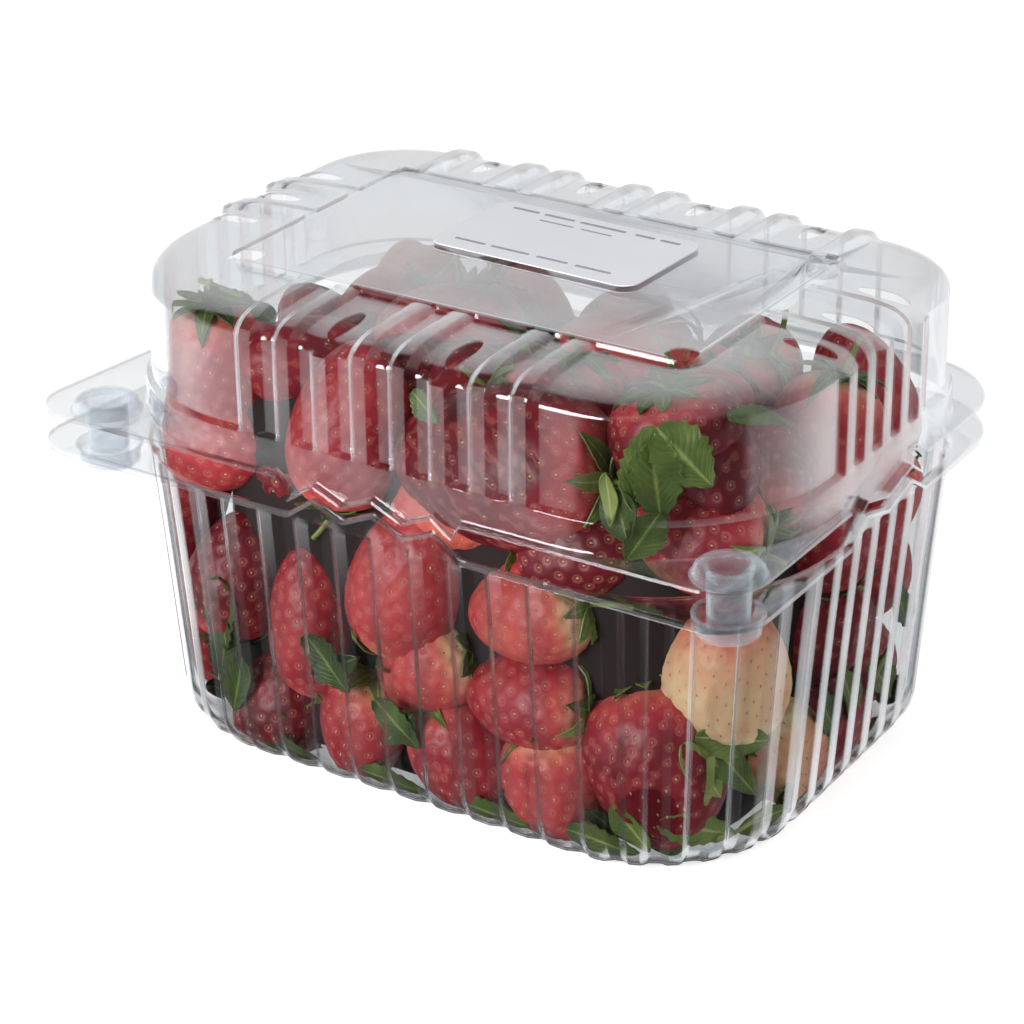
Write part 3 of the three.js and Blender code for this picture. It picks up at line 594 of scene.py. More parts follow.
ink, tree = new_material("label_ink")
spot = object_spot(tree)
speck = noise(tree, spot, 1500.0, 1.0)
grey = put(tree, "ShaderNodeMix", {"Factor": speck, "A": (0.22, 0.22, 0.24, 1), "B": (0.42, 0.42, 0.46, 1)},
           data_type="RGBA")
shader = put(tree, "ShaderNodeBsdfPrincipled", {"Base Color": grey.outputs[2], "Roughness": 0.5})
surface(tree, shader)

LABEL_TURN = Matrix.Translation((3, 9, 0)) @ Matrix.Rotation(-0.03, 4, "Z")


def rounded_plate(bm, x, y, wide, deep, corner, low, high):
    """A flat plate with rounded upright corners."""
    made = bmesh.ops.create_cube(bm, size=1, matrix=Matrix.Translation((x, y, (low + high) / 2)) @ Matrix.Diagonal(
        (wide, deep, high - low, 1)))
    edges = {e for v in made["verts"] for e in v.link_edges}
    upright = [e for e in edges if abs(e.verts[0].co.z - e.verts[1].co.z) > 1e-4]
    bmesh.ops.bevel(bm, geom=upright, offset=corner, segments=6, profile=0.5, affect="EDGES", material=-1)


bm = bmesh.new()
rounded_plate(bm, 0, 0, 53, 31, 4, LID_TOP - 0.28, LID_TOP)
bmesh.ops.transform(bm, matrix=LABEL_TURN, verts=bm.verts)
label = show("label_sheet", bm, paper, "lid")
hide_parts("label")

# each row of bars: its y and height, then the middle and the width of each bar
BARS = [(12.2, 1.1, [(-18.5, 7), (-9.5, 8), (2, 12), (13, 5), (19.5, 5)]), (8.6, 0.7, [(-8, 9), (2.5, 8)]),
        (-10.6, 1.0, [(-18, 8), (-7.5, 10), (3.5, 8), (14, 9)])]
bm = bmesh.new()
for y, deep, row in BARS:
    for x, wide in row:
        rounded_plate(bm, x, y, wide, deep, 0.3, LID_TOP - 0.03, LID_TOP)
bmesh.ops.transform(bm, matrix=LABEL_TURN @ Matrix.Translation((0, 0, 0.02)), verts=bm.verts)
show("label_bars", bm, ink, "lid")

# %% [markdown]
# ## Room for the fruit
# Whatever grows too close to a wall is pressed back from it, as the sheet presses on real fruit.

# %% Room for the fruit
ROOM_Z = [0.9, 1.8, 3.3, 5.2, 7.5, 10.6, 71.5, 82.7, 102, 106]
ROOM_INSET = [14.6, 12.2, 10.6, 9.3, 8.1, 7.2, 2.8, 4.6, 6.4, 15.1]
CEILING, SOFT_DEPTH = 106, 3


def press(points, nearer=0.0):
    """Moves points that lie outside the room inside the box back to its wall."""
    p = np.array(points, float)
    low = CEILING - SOFT_DEPTH
    p[:, 2] = np.where(p[:, 2] > low, CEILING - SOFT_DEPTH * np.exp(-(p[:, 2] - low) / SOFT_DEPTH),
                       np.maximum(p[:, 2], ROOM_Z[0]))
    inset = np.interp(p[:, 2], ROOM_Z, ROOM_INSET) - nearer
    for sx in (-1, 1):
        for sy, radius, near, far in ((-1, FRONT_RADIUS, FRONT_X, FRONT_Y), (1, BACK_RADIUS, BACK_X, BACK_Y)):
            dx, dy = p[:, 0] - sx * near, p[:, 1] - far
            here = (dx * sx > 0) & (dy * sy > 0)
            reach = np.hypot(dx, dy)
            over = here & (reach > radius - inset)
            share = np.where(over, np.maximum(radius - inset, 0.1) / np.maximum(reach, 1e-6), 1)
            p[:, 0] = np.where(over, sx * near + dx * share, p[:, 0])
            p[:, 1] = np.where(over, far + dy * share, p[:, 1])
    p[:, 0] = np.clip(p[:, 0], inset - HALF_LENGTH, HALF_LENGTH - inset)
    p[:, 1] = np.clip(p[:, 1], inset - HALF_WIDTH, HALF_WIDTH - inset)
    return p


# %% [markdown]
# ## Strawberries
# The fruit against the front was placed berry by berry after the photograph: centre, length, width, the
# way the tip points and how ripe it is. The rest lies in rows along the other walls and on top.

# %% Where the berries lie
LOWER_FRUIT = [
    (25, -41, 52.5, 31, 23, -1, 0, -0.35, 0.52), (25, -41, 31, 31, 24, -1, 0, -0.08, 0.72),
    (33, -42, 13, 29, 25, 0.05, 0.1, -1, 0.66), (54, -36, 21, 38, 32, 0.30, -0.1, -1, 0.84),
    (10, -42, 11, 31, 24, 0.7, 0, -0.7, 0.74), (-2, -40, 31, 28, 23, -0.8, 0, -0.5, 0.58),
    (-33, -40, 34, 37, 22, -0.1, 0, 1, 0.68), (-18, -42, 12, 28, 23, -0.2, 0, -1, 0.66),
    (-42, -40, 11, 28, 24, 0.2, 0.1, 1, 0.86), (-77, -32, 52, 44, 26, -0.1, -0.1, -1, 0.72),
    (66, -29, 45, 32, 28, 0.1, -0.1, 1, 0.22), (-6, -40, 52, 38, 28, 0.3, 0, 1, 0.60),
    (-75, -30, 19, 36, 25, 0.2, 0, -1, 0.74), (69, -8, 14, 26, 22, 0.5, 0.3, -1, 0.30),
    (-54, -40, 40, 30, 24, 0.1, 0.2, 1, 0.92), (-60, -36, 70, 30, 24, 0.9, -0.1, 0.1, 0.66),
]
UPPER_FRUIT = [
    (-63, -31, 81, 38, 29, 0.1, 0, -1, 0.78), (-22, -38, 84, 38, 29, 0.2, 0.1, 1, 0.74),
    (15, -36, 82, 53, 35, -1, 0, -0.1, 0.90), (53, -26, 90, 33, 28, 0.2, 0.2, -1, 0.95),
    (58, -30, 75, 30, 26, -0.9, -0.2, 0.2, 0.78), (-18, -6, 92, 34, 28, -0.8, -0.4, 0.2, 0.74),
    (20, 4, 92, 33, 27, -0.7, -0.5, 0.1, 0.60), (-38, -30, 68, 28, 24, 0.9, 0, 0.2, 0.90),
    (2, -36, 70, 30, 22, -0.9, 0, -0.3, 0.50), (36, -38, 68, 28, 22, 0.8, 0, 0.2, 0.95),
]
print(len(LOWER_FRUIT), "berries in the tub and", len(UPPER_FRUIT), "under the lid placed by hand")

# %% [markdown]
# Nobody sees the other sides in the photograph, so there berries of chance sizes stand in rows: along
# the walls, on the middle of the heap, and as a second layer behind the front. The second layer gets a very high
# ripeness, so it comes out near-black red: painted shade of the gaps between the front berries.

# %% The other berries
FRUIT_ROWS = [(12, 1.0), (34, 1.4), (58, 1.6), (78, 5)]
ROW_STEP, ROW_HALF_FRUIT = 29, 13
luck = np.random.default_rng(26)


def wall_walk(inset, step):
    """Places at even steps along the right side, the back and the left side, inside the wall."""
    ends = [STARTS["right"] - FRONT_Y - 4, STARTS["left"] + BACK_Y + 4]
    spots = np.array([place(s) for s in np.linspace(*ends, 400)])[:, :4]
    walk = spots[:, :2] - spots[:, 2:] * inset
    run = np.concatenate([[0], np.cumsum(np.hypot(*np.diff(walk, axis=0).T))])
    count = round(run[-1] / step)
    along = (np.arange(count) + 0.5) / count * run[-1]
    return np.stack([np.interp(along, run, walk[:, 0]), np.interp(along, run, walk[:, 1])], axis=1)


back_fruit = []
for z, clear in FRUIT_ROWS:
    for x, y in wall_walk(max(0, lean(z)) + clear + ROW_HALF_FRUIT, ROW_STEP):
        wide = luck.uniform(20, 25)
        tip = luck.uniform(-0.5, 0.5, 3) * (1, 1, 1.6)
        back_fruit.append((x, y, z + luck.uniform(-2, 2), wide * luck.uniform(1.15, 1.4), wide, *tip,
                           luck.uniform(0.65, 0.9)))
for x in range(-52, 53, 30):
    for y in (16, 36):
        wide = luck.uniform(21, 26)
        tip = luck.uniform(-0.5, 0.5, 3) * (1, 1, 0.6)
        back_fruit.append((x, y - luck.uniform(0, 4), luck.uniform(81, 84), wide * 1.25, wide, *tip,
                           luck.uniform(0.65, 0.9)))
SECOND_LAYER = -24
filler = []
for layer, z in enumerate((14, 33, 52, 71, 81), start=1):
    for x in range(-56, 57, 22):
        for y in (SECOND_LAYER, -3, 18) if z > 80 else (SECOND_LAYER,):
            if x > 30 and y == SECOND_LAYER and z < 80:
                continue
            wide = luck.uniform(20, 25)
            tip = luck.uniform(-0.5, 0.5, 3) * (1, 1, 1.6)
            shift = 11 * (layer % 2) + luck.uniform(-3, 3)
            raised = 6 if z > 80 and y == SECOND_LAYER else 0
            # ripeness of 0.86 to 0.98 makes these berries near-black red: partly ripeness, mostly painted shade of the
            # gaps
            filler.append((min(60, x + shift), y + luck.uniform(-2, 2), z + luck.uniform(-2, 2) + raised,
                           wide * 1.3, wide, *tip, luck.uniform(0.86, 0.98)))
print(len(LOWER_FRUIT + UPPER_FRUIT), "berries along the front,", len(back_fruit + filler), "others")

# %% [markdown]
# A berry is a profile spun about its length, with a few low lumps. Its seeds follow a spiral with even
# spacing on the skin. Each seed sits in a dimple that is pressed into the skin of the mesh itself.

# %% Shape of one berry
GOLDEN = math.pi * (3 - math.sqrt(5))
TURN_SHARE = np.linspace(0, 1, 400)


def berry_radius(t):
    """Share of the half width at a share of the way from the calyx to the tip."""
    return np.sin(np.pi * t) ** 0.78 * (1 - 0.52 * t ** 1.3) / 0.815


def unit_berry(rows, steps):
    """A plain berry of half width 1 and length 1, spun from its profile."""
    bm = bmesh.new()
    shares = (1 - np.cos(np.pi * np.linspace(0.0, 1, rows))) / 2 * 0.35 + np.linspace(0, 1, rows) * 0.65
    line = [bm.verts.new((float(berry_radius(t)), 0, -0.5 * math.cos(math.pi * t))) for t in shares]
    edges = [bm.edges.new(pair) for pair in zip(line, line[1:])]
    bmesh.ops.spin(bm, geom=line + edges, cent=(0, 0, 0), axis=(0, 0, 1), angle=2 * math.pi, steps=steps,
                   use_merge=True)
    bmesh.ops.remove_doubles(bm, verts=bm.verts, dist=1e-5)
    bmesh.ops.recalc_face_normals(bm, faces=bm.faces)
    mesh = bpy.data.meshes.new("unit_berry")
    bm.to_mesh(mesh)
    bm.free()
    return mesh


def seed_spots(count):
    """Share of the way to the tip and angle of evenly spread seeds."""
    step = np.hypot(np.diff(berry_radius(TURN_SHARE)) * 0.4, np.diff(-0.5 * np.cos(np.pi * TURN_SHARE)))
    area = np.concatenate([[0], np.cumsum(step * berry_radius(TURN_SHARE[1:]))])
    wanted = (np.arange(count) + 0.5) / count * area[-1] * 0.97 + area[-1] * 0.025
    stray = np.random.default_rng(count).uniform(-1, 1, (2, count))
    t = np.clip(np.interp(wanted, area, TURN_SHARE) + 0.012 * stray[0], 0.02, 0.99)
    return t, np.arange(count) * GOLDEN + 0.055 * stray[1] / np.maximum(berry_radius(t), 0.2)


class Berry:
    """One berry: its lumps, its place and its turn."""

    def __init__(self, row, luck):
        self.centre, self.length, self.wide, self.ripe_and_shade = np.array(row[:3]), row[3], row[4], row[8]
        turn = Vector((0, 0, 1)).rotation_difference(Vector(row[5:8])).to_matrix()
        self.turn = np.array(turn @ Matrix.Rotation(luck.uniform(0, 6.28), 3, "Z"))
        self.lumps = [(k, luck.uniform(0.0, 0.055) / (k - 1), luck.uniform(0, 6.28)) for k in (2, 3, 5)]
        self.bend = luck.uniform(-0.10, 0.10, 2)
        self.shade = luck.uniform(0, 1)

    def spots(self, t, angle):
        """Points on the skin and the outward directions there."""
        grow = 1 + sum(size * np.sin(k * angle + start) for k, size, start in self.lumps)
        r = berry_radius(t) * self.wide / 2 * grow
        z = -0.5 * np.cos(np.pi * t) * self.length
        x = r * np.cos(angle) + self.bend[0] * self.wide * (t - 0.5) ** 2
        y = r * np.sin(angle) + self.bend[1] * self.wide * (t - 0.5) ** 2
        out = np.stack([np.cos(angle) * r / (self.wide / 2) ** 2, np.sin(angle) * r / (self.wide / 2) ** 2,
                        z / (self.length / 2) ** 2], axis=1)
        out /= np.linalg.norm(out, axis=1, keepdims=True)
        return np.stack([x, y, z], axis=1) @ self.turn.T + self.centre, out @ self.turn.T


def add_berries(rows, unit, luck, spacing):
    """One mesh of all the berries of a list, and the list of them with their seeds."""
    bm = bmesh.new()
    layers = {name: bm.verts.layers.float.new(name) for name in ("apart", "along", "ripe_and_shade", "shade")}
    flat_points = np.zeros(len(unit.vertices) * 3)
    unit.vertices.foreach_get("co", flat_points)
    flat_points = flat_points.reshape(-1, 3)
    t = np.arccos(np.clip(-2 * flat_points[:, 2], -1, 1)) / np.pi
    angle = np.arctan2(flat_points[:, 1], flat_points[:, 0])
    berries = []
    for row in rows:
        berry = Berry(row, luck)
        skin, out = berry.spots(t, angle)
        count = int(berry.length * berry.wide * 2.25 / spacing ** 2)
        berry.seeds, berry.seed_out = berry.spots(*seed_spots(count))
        apart = np.sqrt(((skin[:, None, :] - berry.seeds[None, :, :]) ** 2).sum(axis=2).min(axis=1))
        dimple = np.exp(-(apart / 0.95) ** 2)
        skin = press(skin - out * (0.60 * dimple)[:, None])
        start = len(bm.verts)
        part = unit.copy()
        part.vertices.foreach_set("co", skin.ravel())
        bm.from_mesh(part)
        bpy.data.meshes.remove(part)
        bm.verts.ensure_lookup_table()
        for i, vert in enumerate(bm.verts[start:]):
            vert[layers["apart"]] = apart[i]
            vert[layers["along"]] = t[i]
            vert[layers["ripe_and_shade"]] = berry.ripe_and_shade
            vert[layers["shade"]] = berry.shade
        berries.append(berry)
    return bm, berries


# %% [markdown]
# The skin is deep red and moist. It pales towards the calyx and on berries that are less ripe, and it is paler and
# yellower round each seed: partly the skin's own colour, partly a painted highlight of the dimple rim.

# %% Fruit materials
def attribute(tree, name):
    return put(tree, "ShaderNodeAttribute", attribute_name=name).outputs["Fac"]


def colours(tree, share, stops):
    ramp = put(tree, "ShaderNodeValToRGB", {0: share})
    elements = ramp.color_ramp.elements
    for i, (position, colour) in enumerate(stops):
        element = elements[i] if i < 2 else elements.new(position)
        element.position = position
        element.color = (*colour, 1)
    return ramp.outputs[0]


def blend_colour(tree, share, a, b):
    new = put(tree, "ShaderNodeMix", data_type="RGBA")
    for socket, value in ((new.inputs[0], share), (new.inputs[6], a), (new.inputs[7], b)):
        if isinstance(value, bpy.types.NodeSocket):
            tree.links.new(value, socket)
        else:
            socket.default_value = value if isinstance(value, float) else (*value, 1)
    return new.outputs[2]


WOUND = (0.0595, -0.0495, 0.0145)

skin, tree = new_material("berry_skin")
spot = object_spot(tree)
apart, along, ripe_and_shade = attribute(tree, "apart"), attribute(tree, "along"), attribute(tree, "ripe_and_shade")
blotch = noise(tree, spot, 110.0, 3.0)
fine = noise(tree, spot, 900.0, 2.0)
neck = smooth_range(tree, along, 0.06, 0.34, -0.42, 0.0)
level = math_node(tree, "ADD", ripe_and_shade, neck)
level = math_node(tree, "MULTIPLY_ADD", math_node(tree, "SUBTRACT", blotch, 0.5), 0.35, level)
level = math_node(tree, "MULTIPLY_ADD", attribute(tree, "shade"), 0.08, level)
unripe = smooth_range(tree, ripe_and_shade, 0.22, 0.32, 1.0, 0.0)
level = math_node(tree, "MULTIPLY_ADD", smooth_range(tree, along, 0.45, 0.95, 0.0, 0.26), unripe, level)
# the darkest stops give the ripest berries their deep red and the second layer its painted shade
red = colours(tree, level, [(0.10, (0.70, 0.58, 0.33)), (0.98, (0.11, 0.003, 0.009)), (0.30, (0.66, 0.35, 0.19)),
                            (0.45, (0.58, 0.125, 0.090)), (0.62, (0.46, 0.052, 0.055)), (0.80, (0.29, 0.015, 0.026))])
# pale ring round each seed: partly paler skin, partly a painted highlight of the dimple rim
ring = math_node(tree, "MULTIPLY", smooth_range(tree, apart, 0.55, 0.85),
                 smooth_range(tree, apart, 0.95, 1.35, 1.0, 0.0))
base = blend_colour(tree, math_node(tree, "MULTIPLY", ring, 0.17), red, (0.66, 0.27, 0.20))
# one berry low at the right corner has a dark wet wound
wound_way = put(tree, "ShaderNodeVectorMath", {0: spot, 1: WOUND}, operation="DISTANCE").outputs["Value"]
wound_way = math_node(tree, "MULTIPLY_ADD", math_node(tree, "SUBTRACT", blotch, 0.5), 0.010, wound_way)
wound = smooth_range(tree, wound_way, 0.0062, 0.0088, 1.0, 0.0)
base = blend_colour(tree, wound, base, (0.115, 0.003, 0.008))
wet = math_node(tree, "MULTIPLY_ADD", wound, -0.22, 0.44)
bump = put(tree, "ShaderNodeBump", {"Height": fine, "Strength": 0.12, "Distance": 0.0004})
shader = put(tree, "ShaderNodeBsdfPrincipled", {
    "Base Color": base, "Roughness": wet, "Normal": bump.outputs[0], "Specular IOR Level": 0.40,
    "Coat Weight": 0.02, "Coat Roughness": 0.2})
surface(tree, shader)

grain, tree = new_material("seed_grain")
spot = object_spot(tree)
patch = noise(tree, spot, 220.0, 2.0)
gold = colours(tree, patch, [(0.3, (0.34, 0.12, 0.05)), (0.7, (0.62, 0.40, 0.20))])
shader = put(tree, "ShaderNodeBsdfPrincipled", {"Base Color": gold, "Roughness": 0.4})
surface(tree, shader)
print("fruit materials:", skin.name, grain.name)

# %% [markdown]
# The berries in front have a fine skin, so their dimples show; those at the back have fewer points.
# A seed is a small flattened ball that lies along the berry, half sunk in its dimple.

# %% Skin and seeds
FRONT_SPACING, BACK_SPACING = 3.1, 3.4
fine_berry = unit_berry(64, 76)
lower_bm, lower_berries = add_berries(LOWER_FRUIT, fine_berry, luck, FRONT_SPACING)
upper_bm, upper_berries = add_berries(UPPER_FRUIT, fine_berry, luck, FRONT_SPACING)
back_bm, back_berries = add_berries(back_fruit, unit_berry(40, 48), luck, BACK_SPACING)
inner_bm, inner_berries = add_berries(filler, unit_berry(34, 40), luck, BACK_SPACING)
for name, bm in (("berries_lower", lower_bm), ("berries_upper", upper_bm), ("berries_inner", inner_bm),
                 ("berries_back", back_bm)):
    show(name, bm, skin, "tub", smooth_angle=180, normals=False)


def add_seeds(name, berries):
    """All the seeds of a list of berries, as one piece."""
    bm = bmesh.new()
    bmesh.ops.create_icosphere(bm, subdivisions=1, radius=1)
    unit = bpy.data.meshes.new("unit_seed")
    bm.to_mesh(unit)
    bm.clear()
    for berry in berries:
        tip = Vector(berry.turn[:, 2])
        for spot, out in zip(press(berry.seeds - berry.seed_out * 0.52), berry.seed_out):
            out = Vector(out)
            long = tip - out * tip.dot(out) if abs(tip.dot(out)) < 0.98 else out.orthogonal()
            long.normalize()
            turn = Matrix((long.cross(out), long, out)).transposed().to_4x4()
            part = unit.copy()
            part.transform(Matrix.Translation(spot) @ turn @ Matrix.Diagonal((0.27, 0.48, 0.22, 1)))
            bm.from_mesh(part)
            bpy.data.meshes.remove(part)
    return show(name, bm, grain, "tub", smooth_angle=180, normals=False)


front_berries = lower_berries + upper_berries
for name, berries in (("seeds_front", front_berries), ("seeds_back", back_berries), ("seeds_inner", inner_berries)):
    add_seeds(name, berries)

# %% [markdown]
# ## Greens
# Every berry wears a ring of pointed sepals and a piece of stem. Loose leaves lie where the photograph
# shows them: by the corner under the lid, between the berries and along the foot. Each is a thin bent
# grid that gets its thickness at the end.

# %% Green of the leaves
leaf_green, tree = new_material("leaf_green")
spot = object_spot(tree)
patch = noise(tree, spot, 160.0, 3.0)
across, shade = attribute(tree, "across"), attribute(tree, "shade")
vein = math_node(tree, "ABSOLUTE", math_node(tree, "SINE", math_node(tree, "MULTIPLY", attribute(tree, "rib"), 30.0)))
middle = smooth_range(tree, across, 0.0, 0.16, 0.35, 0.0)
tone = math_node(tree, "MULTIPLY_ADD", math_node(tree, "SUBTRACT", patch, 0.5), 0.6, shade)
tone = math_node(tree, "ADD", tone, middle)
tone = math_node(tree, "MULTIPLY_ADD", smooth_range(tree, vein, 0.0, 0.25, 1.0, 0.0), 0.10, tone)
green = colours(tree, tone, [(0.0, (0.008, 0.018, 0.007)), (1.0, (0.34, 0.36, 0.13)), (0.30, (0.034, 0.056, 0.011)),
                             (0.55, (0.085, 0.130, 0.022)), (0.80, (0.19, 0.24, 0.055))])
bump = put(tree, "ShaderNodeBump", {"Height": vein, "Strength": 0.25, "Distance": 0.0004})
shader = put(tree, "ShaderNodeBsdfPrincipled", {"Base Color": green, "Roughness": 0.48, "Normal": bump.outputs[0]})
surface(tree, shader)

print("green material:", leaf_green.name)

# %% [markdown]
# One grid makes them all: its columns run across the blade, its rows from the foot to the tip, and the
# script bends it. Three values on each point tell the material where the midrib and the veins are.

# %% Leaf, sepals and stem
LEAF_LAYERS = ("across", "rib", "shade")


def blade(bm, spots, across, rib, shade, columns, rows):
    """Adds one leaf: a grid of faces set to the given points."""
    made = bmesh.ops.create_grid(bm, x_segments=columns, y_segments=rows, size=0.5)["verts"]
    made.sort(key=lambda v: (round(v.co.y, 4), round(v.co.x, 4)))
    for vert, p, a, r in zip(made, spots, across, rib):
        vert.co = p
        for name, value in zip(LEAF_LAYERS, (a, r, shade)):
            vert[bm.verts.layers.float[name]] = value


def leaf_grid(columns, rows):
    u, v = np.meshgrid(np.linspace(-1, 1, columns + 1), np.linspace(0, 1, rows + 1))
    return u.ravel(), v.ravel()


def add_leaf(bm, base, tip, wide, face, shade, teeth=0, curl=0.15, columns=4, rows=14):
    """A leaf from base to tip that turns its face a given way, with teeth along its edge."""
    base, tip, face = np.array(base, float), np.array(tip, float), np.array(face, float)
    run = tip - base
    side = np.cross(face, run)
    side /= np.linalg.norm(side)
    face = np.cross(run, side)
    face /= np.linalg.norm(face)
    length = np.linalg.norm(run)
    u, v = leaf_grid(columns, rows)
    half = wide / 2 * np.sin(np.pi * (0.04 + 0.96 * v ** 0.85)) ** 0.75
    if teeth:
        tooth = np.where(np.arange(rows + 1) % 2 > 0, 1, -1).repeat(columns + 1)
        half = half * (1 + 0.09 * np.abs(u) * tooth)
    fold = (0.10 * wide * u ** 2 + 0.05 * length * np.sin(v * 7 + shade * 9) * np.abs(u) + curl * length * v ** 2)
    spots = base + run * v[:, None] + side * (u * half)[:, None] + face * fold[:, None]
    blade(bm, press(spots, 0.35), np.abs(u), v + 0.35 * np.abs(u), shade, columns, rows)


def add_calyx(bm, berry, luck, count, reach):
    """A ring of sepals that lies on the shoulder of a berry and lifts at the tips."""
    grow, shares = berry_radius(TURN_SHARE[:170]) * berry.wide / 2, TURN_SHARE[:170]
    u, v = leaf_grid(2, 6)
    for i in range(count):
        angle = (i + luck.uniform(-0.3, 0.3)) / count * 2 * math.pi
        long, wide, lift = reach * luck.uniform(0.75, 1.2), reach * luck.uniform(0.30, 0.42), luck.uniform(-0.05, 0.45)
        out = 0.6 + v * long * (1 - 0.25 * lift)
        half = wide / 2 * np.sin(np.pi * (0.16 + 0.84 * v)) ** 0.8
        t = np.interp(np.minimum(out, grow.max() * 0.96), grow, shares)
        z = -0.5 * np.cos(np.pi * t) * berry.length - 0.45 - lift * long * v ** 2 - 0.10 * wide * u ** 2
        x = out * math.cos(angle) - u * half * math.sin(angle)
        y = out * math.sin(angle) + u * half * math.cos(angle)
        spots = np.stack([x, y, z], axis=1) @ berry.turn.T + berry.centre
        pressed = press(spots, luck.uniform(-0.25, 0.35))
        blade(bm, pressed, np.abs(u), v * 0.4, berry.shade * 0.3 + luck.uniform(0.22, 0.55), 2, 6)


def add_stem(bm, start, way, length, thick, luck):
    """A bent round stem, pulled ring by ring out of a circle."""
    way = Vector(way).normalized()
    side = way.orthogonal().normalized()
    side.rotate(Matrix.Rotation(luck.uniform(0, 6.28), 3, way))
    bend = luck.uniform(0.1, 0.45)
    rings = []
    for k in np.linspace(0, 1, 6):
        middle = Vector(start) + way * length * k + side * length * bend * k * k
        x = (side - way * bend * 2 * k).normalized()
        y = way.cross(side)
        r = thick * (1 - 0.2 * k)
        ring = [middle + (x * math.cos(a) + y * math.sin(a)) * r for a in np.linspace(0, 2 * math.pi, 9)[:-1]]
        rings.append([Vector(p) for p in press(ring, 0.3)])
    first, last = loft(bm, rings)
    bmesh.ops.contextual_create(bm, geom=first)
    bmesh.ops.contextual_create(bm, geom=last)


print("helpers for leaf, calyx and stem are ready")

# %% [markdown]
# First every berry gets its calyx and stem, then the leaves of the photograph are placed by their foot
# and tip, and last small leaves are scattered round the foot of the tub.

# %% Greens in place
sepals = bmesh.new()
stems = bmesh.new()
for name in LEAF_LAYERS:
    sepals.verts.layers.float.new(name)
    stems.verts.layers.float.new(name)
for berry in front_berries + back_berries + inner_berries:
    add_calyx(sepals, berry, luck, int(luck.integers(8, 11)), berry.wide * luck.uniform(0.36, 0.46))
    foot = berry.centre - berry.turn[:, 2] * berry.length * 0.5
    add_stem(stems, foot, -berry.turn[:, 2], luck.uniform(5, 13), 0.75, luck)

FRONT, RIGHT, CORNER, TOP = (0, -1, 0), (1, 0, 0), (0.75, -0.66, 0), (-0.2, -0.3, 1)
LEAVES = [
    ((58, -46, 104), (54, -50, 88), 12, CORNER, 0.62, 1), ((58, -46, 104), (67, -40, 92), 12, CORNER, 0.55, 1),
    ((57, -47, 102), (60, -47, 84), 11, CORNER, 0.50, 1), ((51, -51, 92), (55, -51, 80), 9, FRONT, 0.34, 0),
    ((60, -48, 87), (54, -51, 76), 9, CORNER, 0.40, 1), ((50, -52, 95), (52, -52, 84), 4, FRONT, 0.80, 0),
    ((-26, -53, 38), (-14, -53, 27), 9, FRONT, 0.30, 1), ((-24, -53, 28), (-12, -53, 36), 7, FRONT, 0.22, 1),
    ((-8, -53, 27), (4, -53, 18), 8, FRONT, 0.36, 1), ((2, -53, 26), (-6, -53, 16), 7, FRONT, 0.26, 0),
    ((-52, -50, 44), (-50, -51, 26), 9, FRONT, 0.34, 1), ((-49, -51, 34), (-54, -48, 18), 8, FRONT, 0.26, 1),
    ((-45, -52, 26), (-50, -49, 10), 7, FRONT, 0.40, 0), ((66, -42, 34), (77, -28, 30), 8, CORNER, 0.60, 0),
    ((64, -44, 33), (70, -38, 19), 7, CORNER, 0.70, 0), ((68, -40, 33), (75, -31, 17), 7, CORNER, 0.50, 0),
    ((60, -47, 14), (72, -34, 8), 8, CORNER, 0.66, 1), ((40, -51, 8), (56, -47, 5), 8, FRONT, 0.45, 1),
    ((14, -51, 6), (30, -51, 5), 8, FRONT, 0.50, 1), ((-14, -51, 6), (4, -51, 5), 7, FRONT, 0.40, 1),
    ((-44, -49, 6), (-26, -51, 5), 7, FRONT, 0.36, 1), ((50, -49, 16), (58, -46, 6), 7, FRONT, 0.58, 0),
    ((77, -8, 30), (76, 4, 16), 8, RIGHT, 0.35, 1), ((76, 6, 30), (76, 14, 12), 7, RIGHT, 0.55, 0),
    ((76, 20, 26), (75, 34, 10), 8, RIGHT, 0.45, 1), ((77, 30, 40), (75, 40, 26), 7, RIGHT, 0.30, 1),
    ((74, -20, 10), (76, -4, 8), 7, RIGHT, 0.60, 1), ((68, -34, 104), (76, -22, 100), 11, TOP, 0.42, 1),
    ((-66, -32, 103), (-48, -36, 105), 8, TOP, 0.22, 1), ((-50, -34, 105), (-42, -38, 102), 5, TOP, 0.16, 0),
    ((2, -50, 101), (9, -51, 96), 6, FRONT, 0.45, 1), ((-70, -36, 74), (-58, -45, 70), 8, (-0.5, -0.8, 0), 0.3, 1),
]
for base, tip, wide, face, shade, teeth in LEAVES:
    add_leaf(sepals, base, tip, wide, face, shade, teeth=teeth, curl=luck.uniform(-0.05, 0.1))
for s_at in np.linspace(0, AROUND, 46, endpoint=False):
    x, y, nx, ny = place(s_at + luck.uniform(-4, 4))[:4]
    inset, z = luck.uniform(12, 17), luck.uniform(2.5, 9)
    lean_way = luck.uniform(-1, 1)
    start = np.array([x - nx * inset, y - ny * inset, z])
    end = start + np.array([-ny * lean_way * 12 + nx * 3, nx * lean_way * 12 + ny * 3, luck.uniform(3, 9)])
    add_leaf(sepals, start, end, luck.uniform(4, 7), (nx, ny, 0), luck.uniform(0.15, 0.7), columns=2, rows=6)
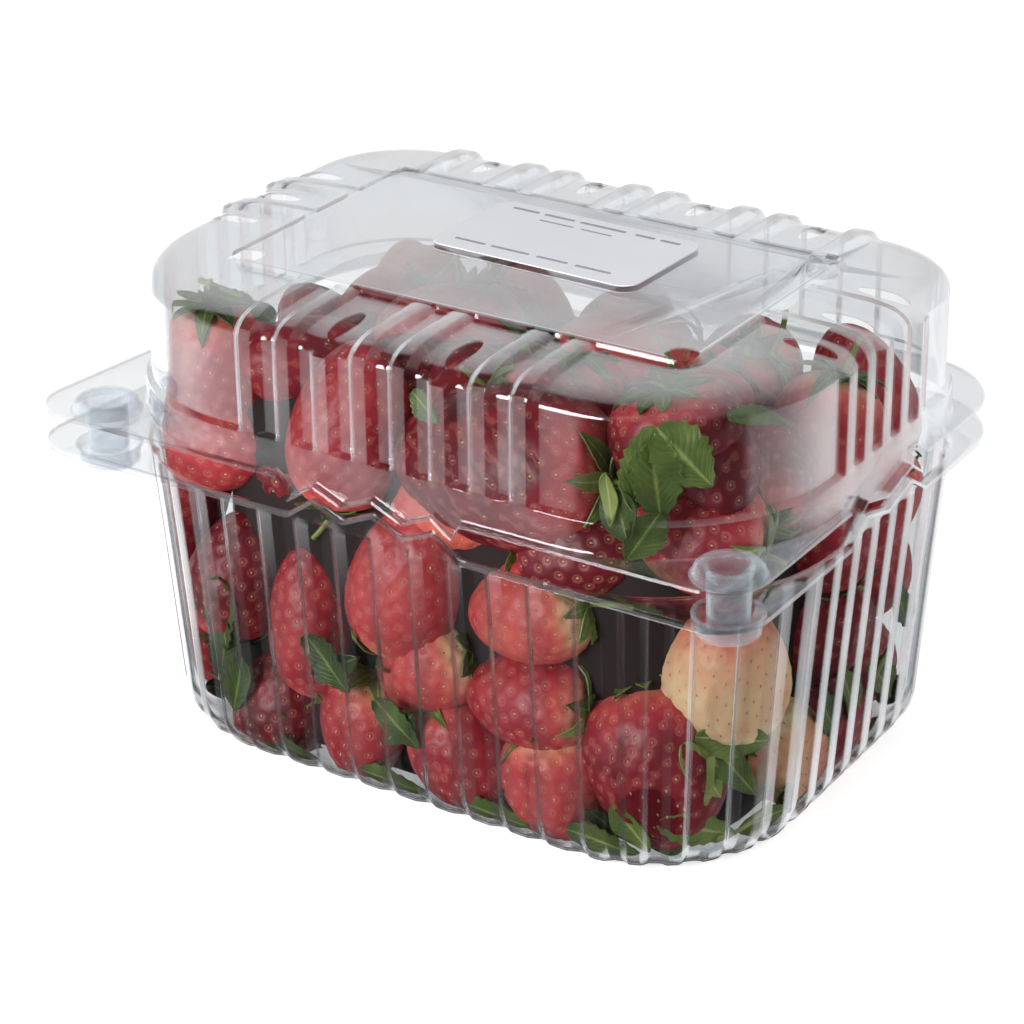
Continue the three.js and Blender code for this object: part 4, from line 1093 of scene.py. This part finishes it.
STEMS = [((38, -4, 96), (-0.1, -0.3, 1), 11, 0.8), ((69, -41, 30), (0.1, 0, -1), 22, 1.0),
         ((70, -38, 8), (0.6, 0.5, 0.1), 16, 0.9), ((75, 0, 12), (0, 0.3, 1), 22, 0.8),
         ((74, 14, 8), (0, 0.6, 0.8), 24, 0.8), ((-70, -28, 104), (0.9, -0.2, 0.0), 22, 0.9)]
for start, way, length, thick in STEMS:
    add_stem(stems, start, way, length, thick, luck)
for vert in stems.verts:
    vert[stems.verts.layers.float["shade"]] = 0.72
    vert[stems.verts.layers.float["across"]] = 1.0
thicken(sepals, 0.32)
show("leaves", sepals, leaf_green, "tub", smooth_angle=60, normals=False)
show("stems", stems, leaf_green, "tub", smooth_angle=60)

# %% [markdown]
# ## Middle of the heap
# Behind the second layer of fruit nothing can be seen, so a plain core fills the middle. It stands for the hidden
# fruit, and its near-black colour is painted shade of the deep gaps between the berries.

# %% Core
core_shade_material, tree = new_material("heap_core_shade")
# near-black colour: painted shade of the gaps between the berries
shader = put(tree, "ShaderNodeBsdfPrincipled", {"Base Color": (0.012, 0.003, 0.003, 1), "Roughness": 0.8})
surface(tree, shader)
CORE_SECTION = [(18, 2.6), (16, 8), (17, 16), (18, 72), (20, 80), (25, 85)]
core_rows = [("wall", inset, z, 0, 0, flat) for inset, z in CORE_SECTION]
bm = bmesh.new()
low, high = loft(bm, sheet_rings(np.arange(0, AROUND, 6.0), tub_ridges, tub_ridges, core_rows))
bmesh.ops.contextual_create(bm, geom=low)
bmesh.ops.contextual_create(bm, geom=high)
core_shade = show("heap_core_shade", bm, core_shade_material, "tub")
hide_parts("berries")

# %% [markdown]
# ## Floor
# The pack stands on a plain white surface, which looks as white as the backdrop and adds little light.

# %% Floor and finish
floor_mesh = bpy.data.meshes.new("floor")
bm = bmesh.new()
bmesh.ops.create_grid(bm, x_segments=1, y_segments=1, size=3)
bm.to_mesh(floor_mesh)
bm.free()
floor = bpy.data.objects.new("floor", floor_mesh)
scene.collection.objects.link(floor)
white_floor, tree = new_material("white_floor")
seen = put(tree, "ShaderNodeLightPath").outputs["Is Camera Ray"]
shader = put(tree, "ShaderNodeBsdfPrincipled", {
    "Base Color": (0.85, 0.85, 0.85, 1), "Roughness": 0.9, "Emission Color": (1, 1, 1, 1),
    "Emission Strength": math_node(tree, "MULTIPLY_ADD", seen, 0.44, 0.16)})
surface(tree, shader)
floor_mesh.materials.append(white_floor)
floor.visible_glossy = False
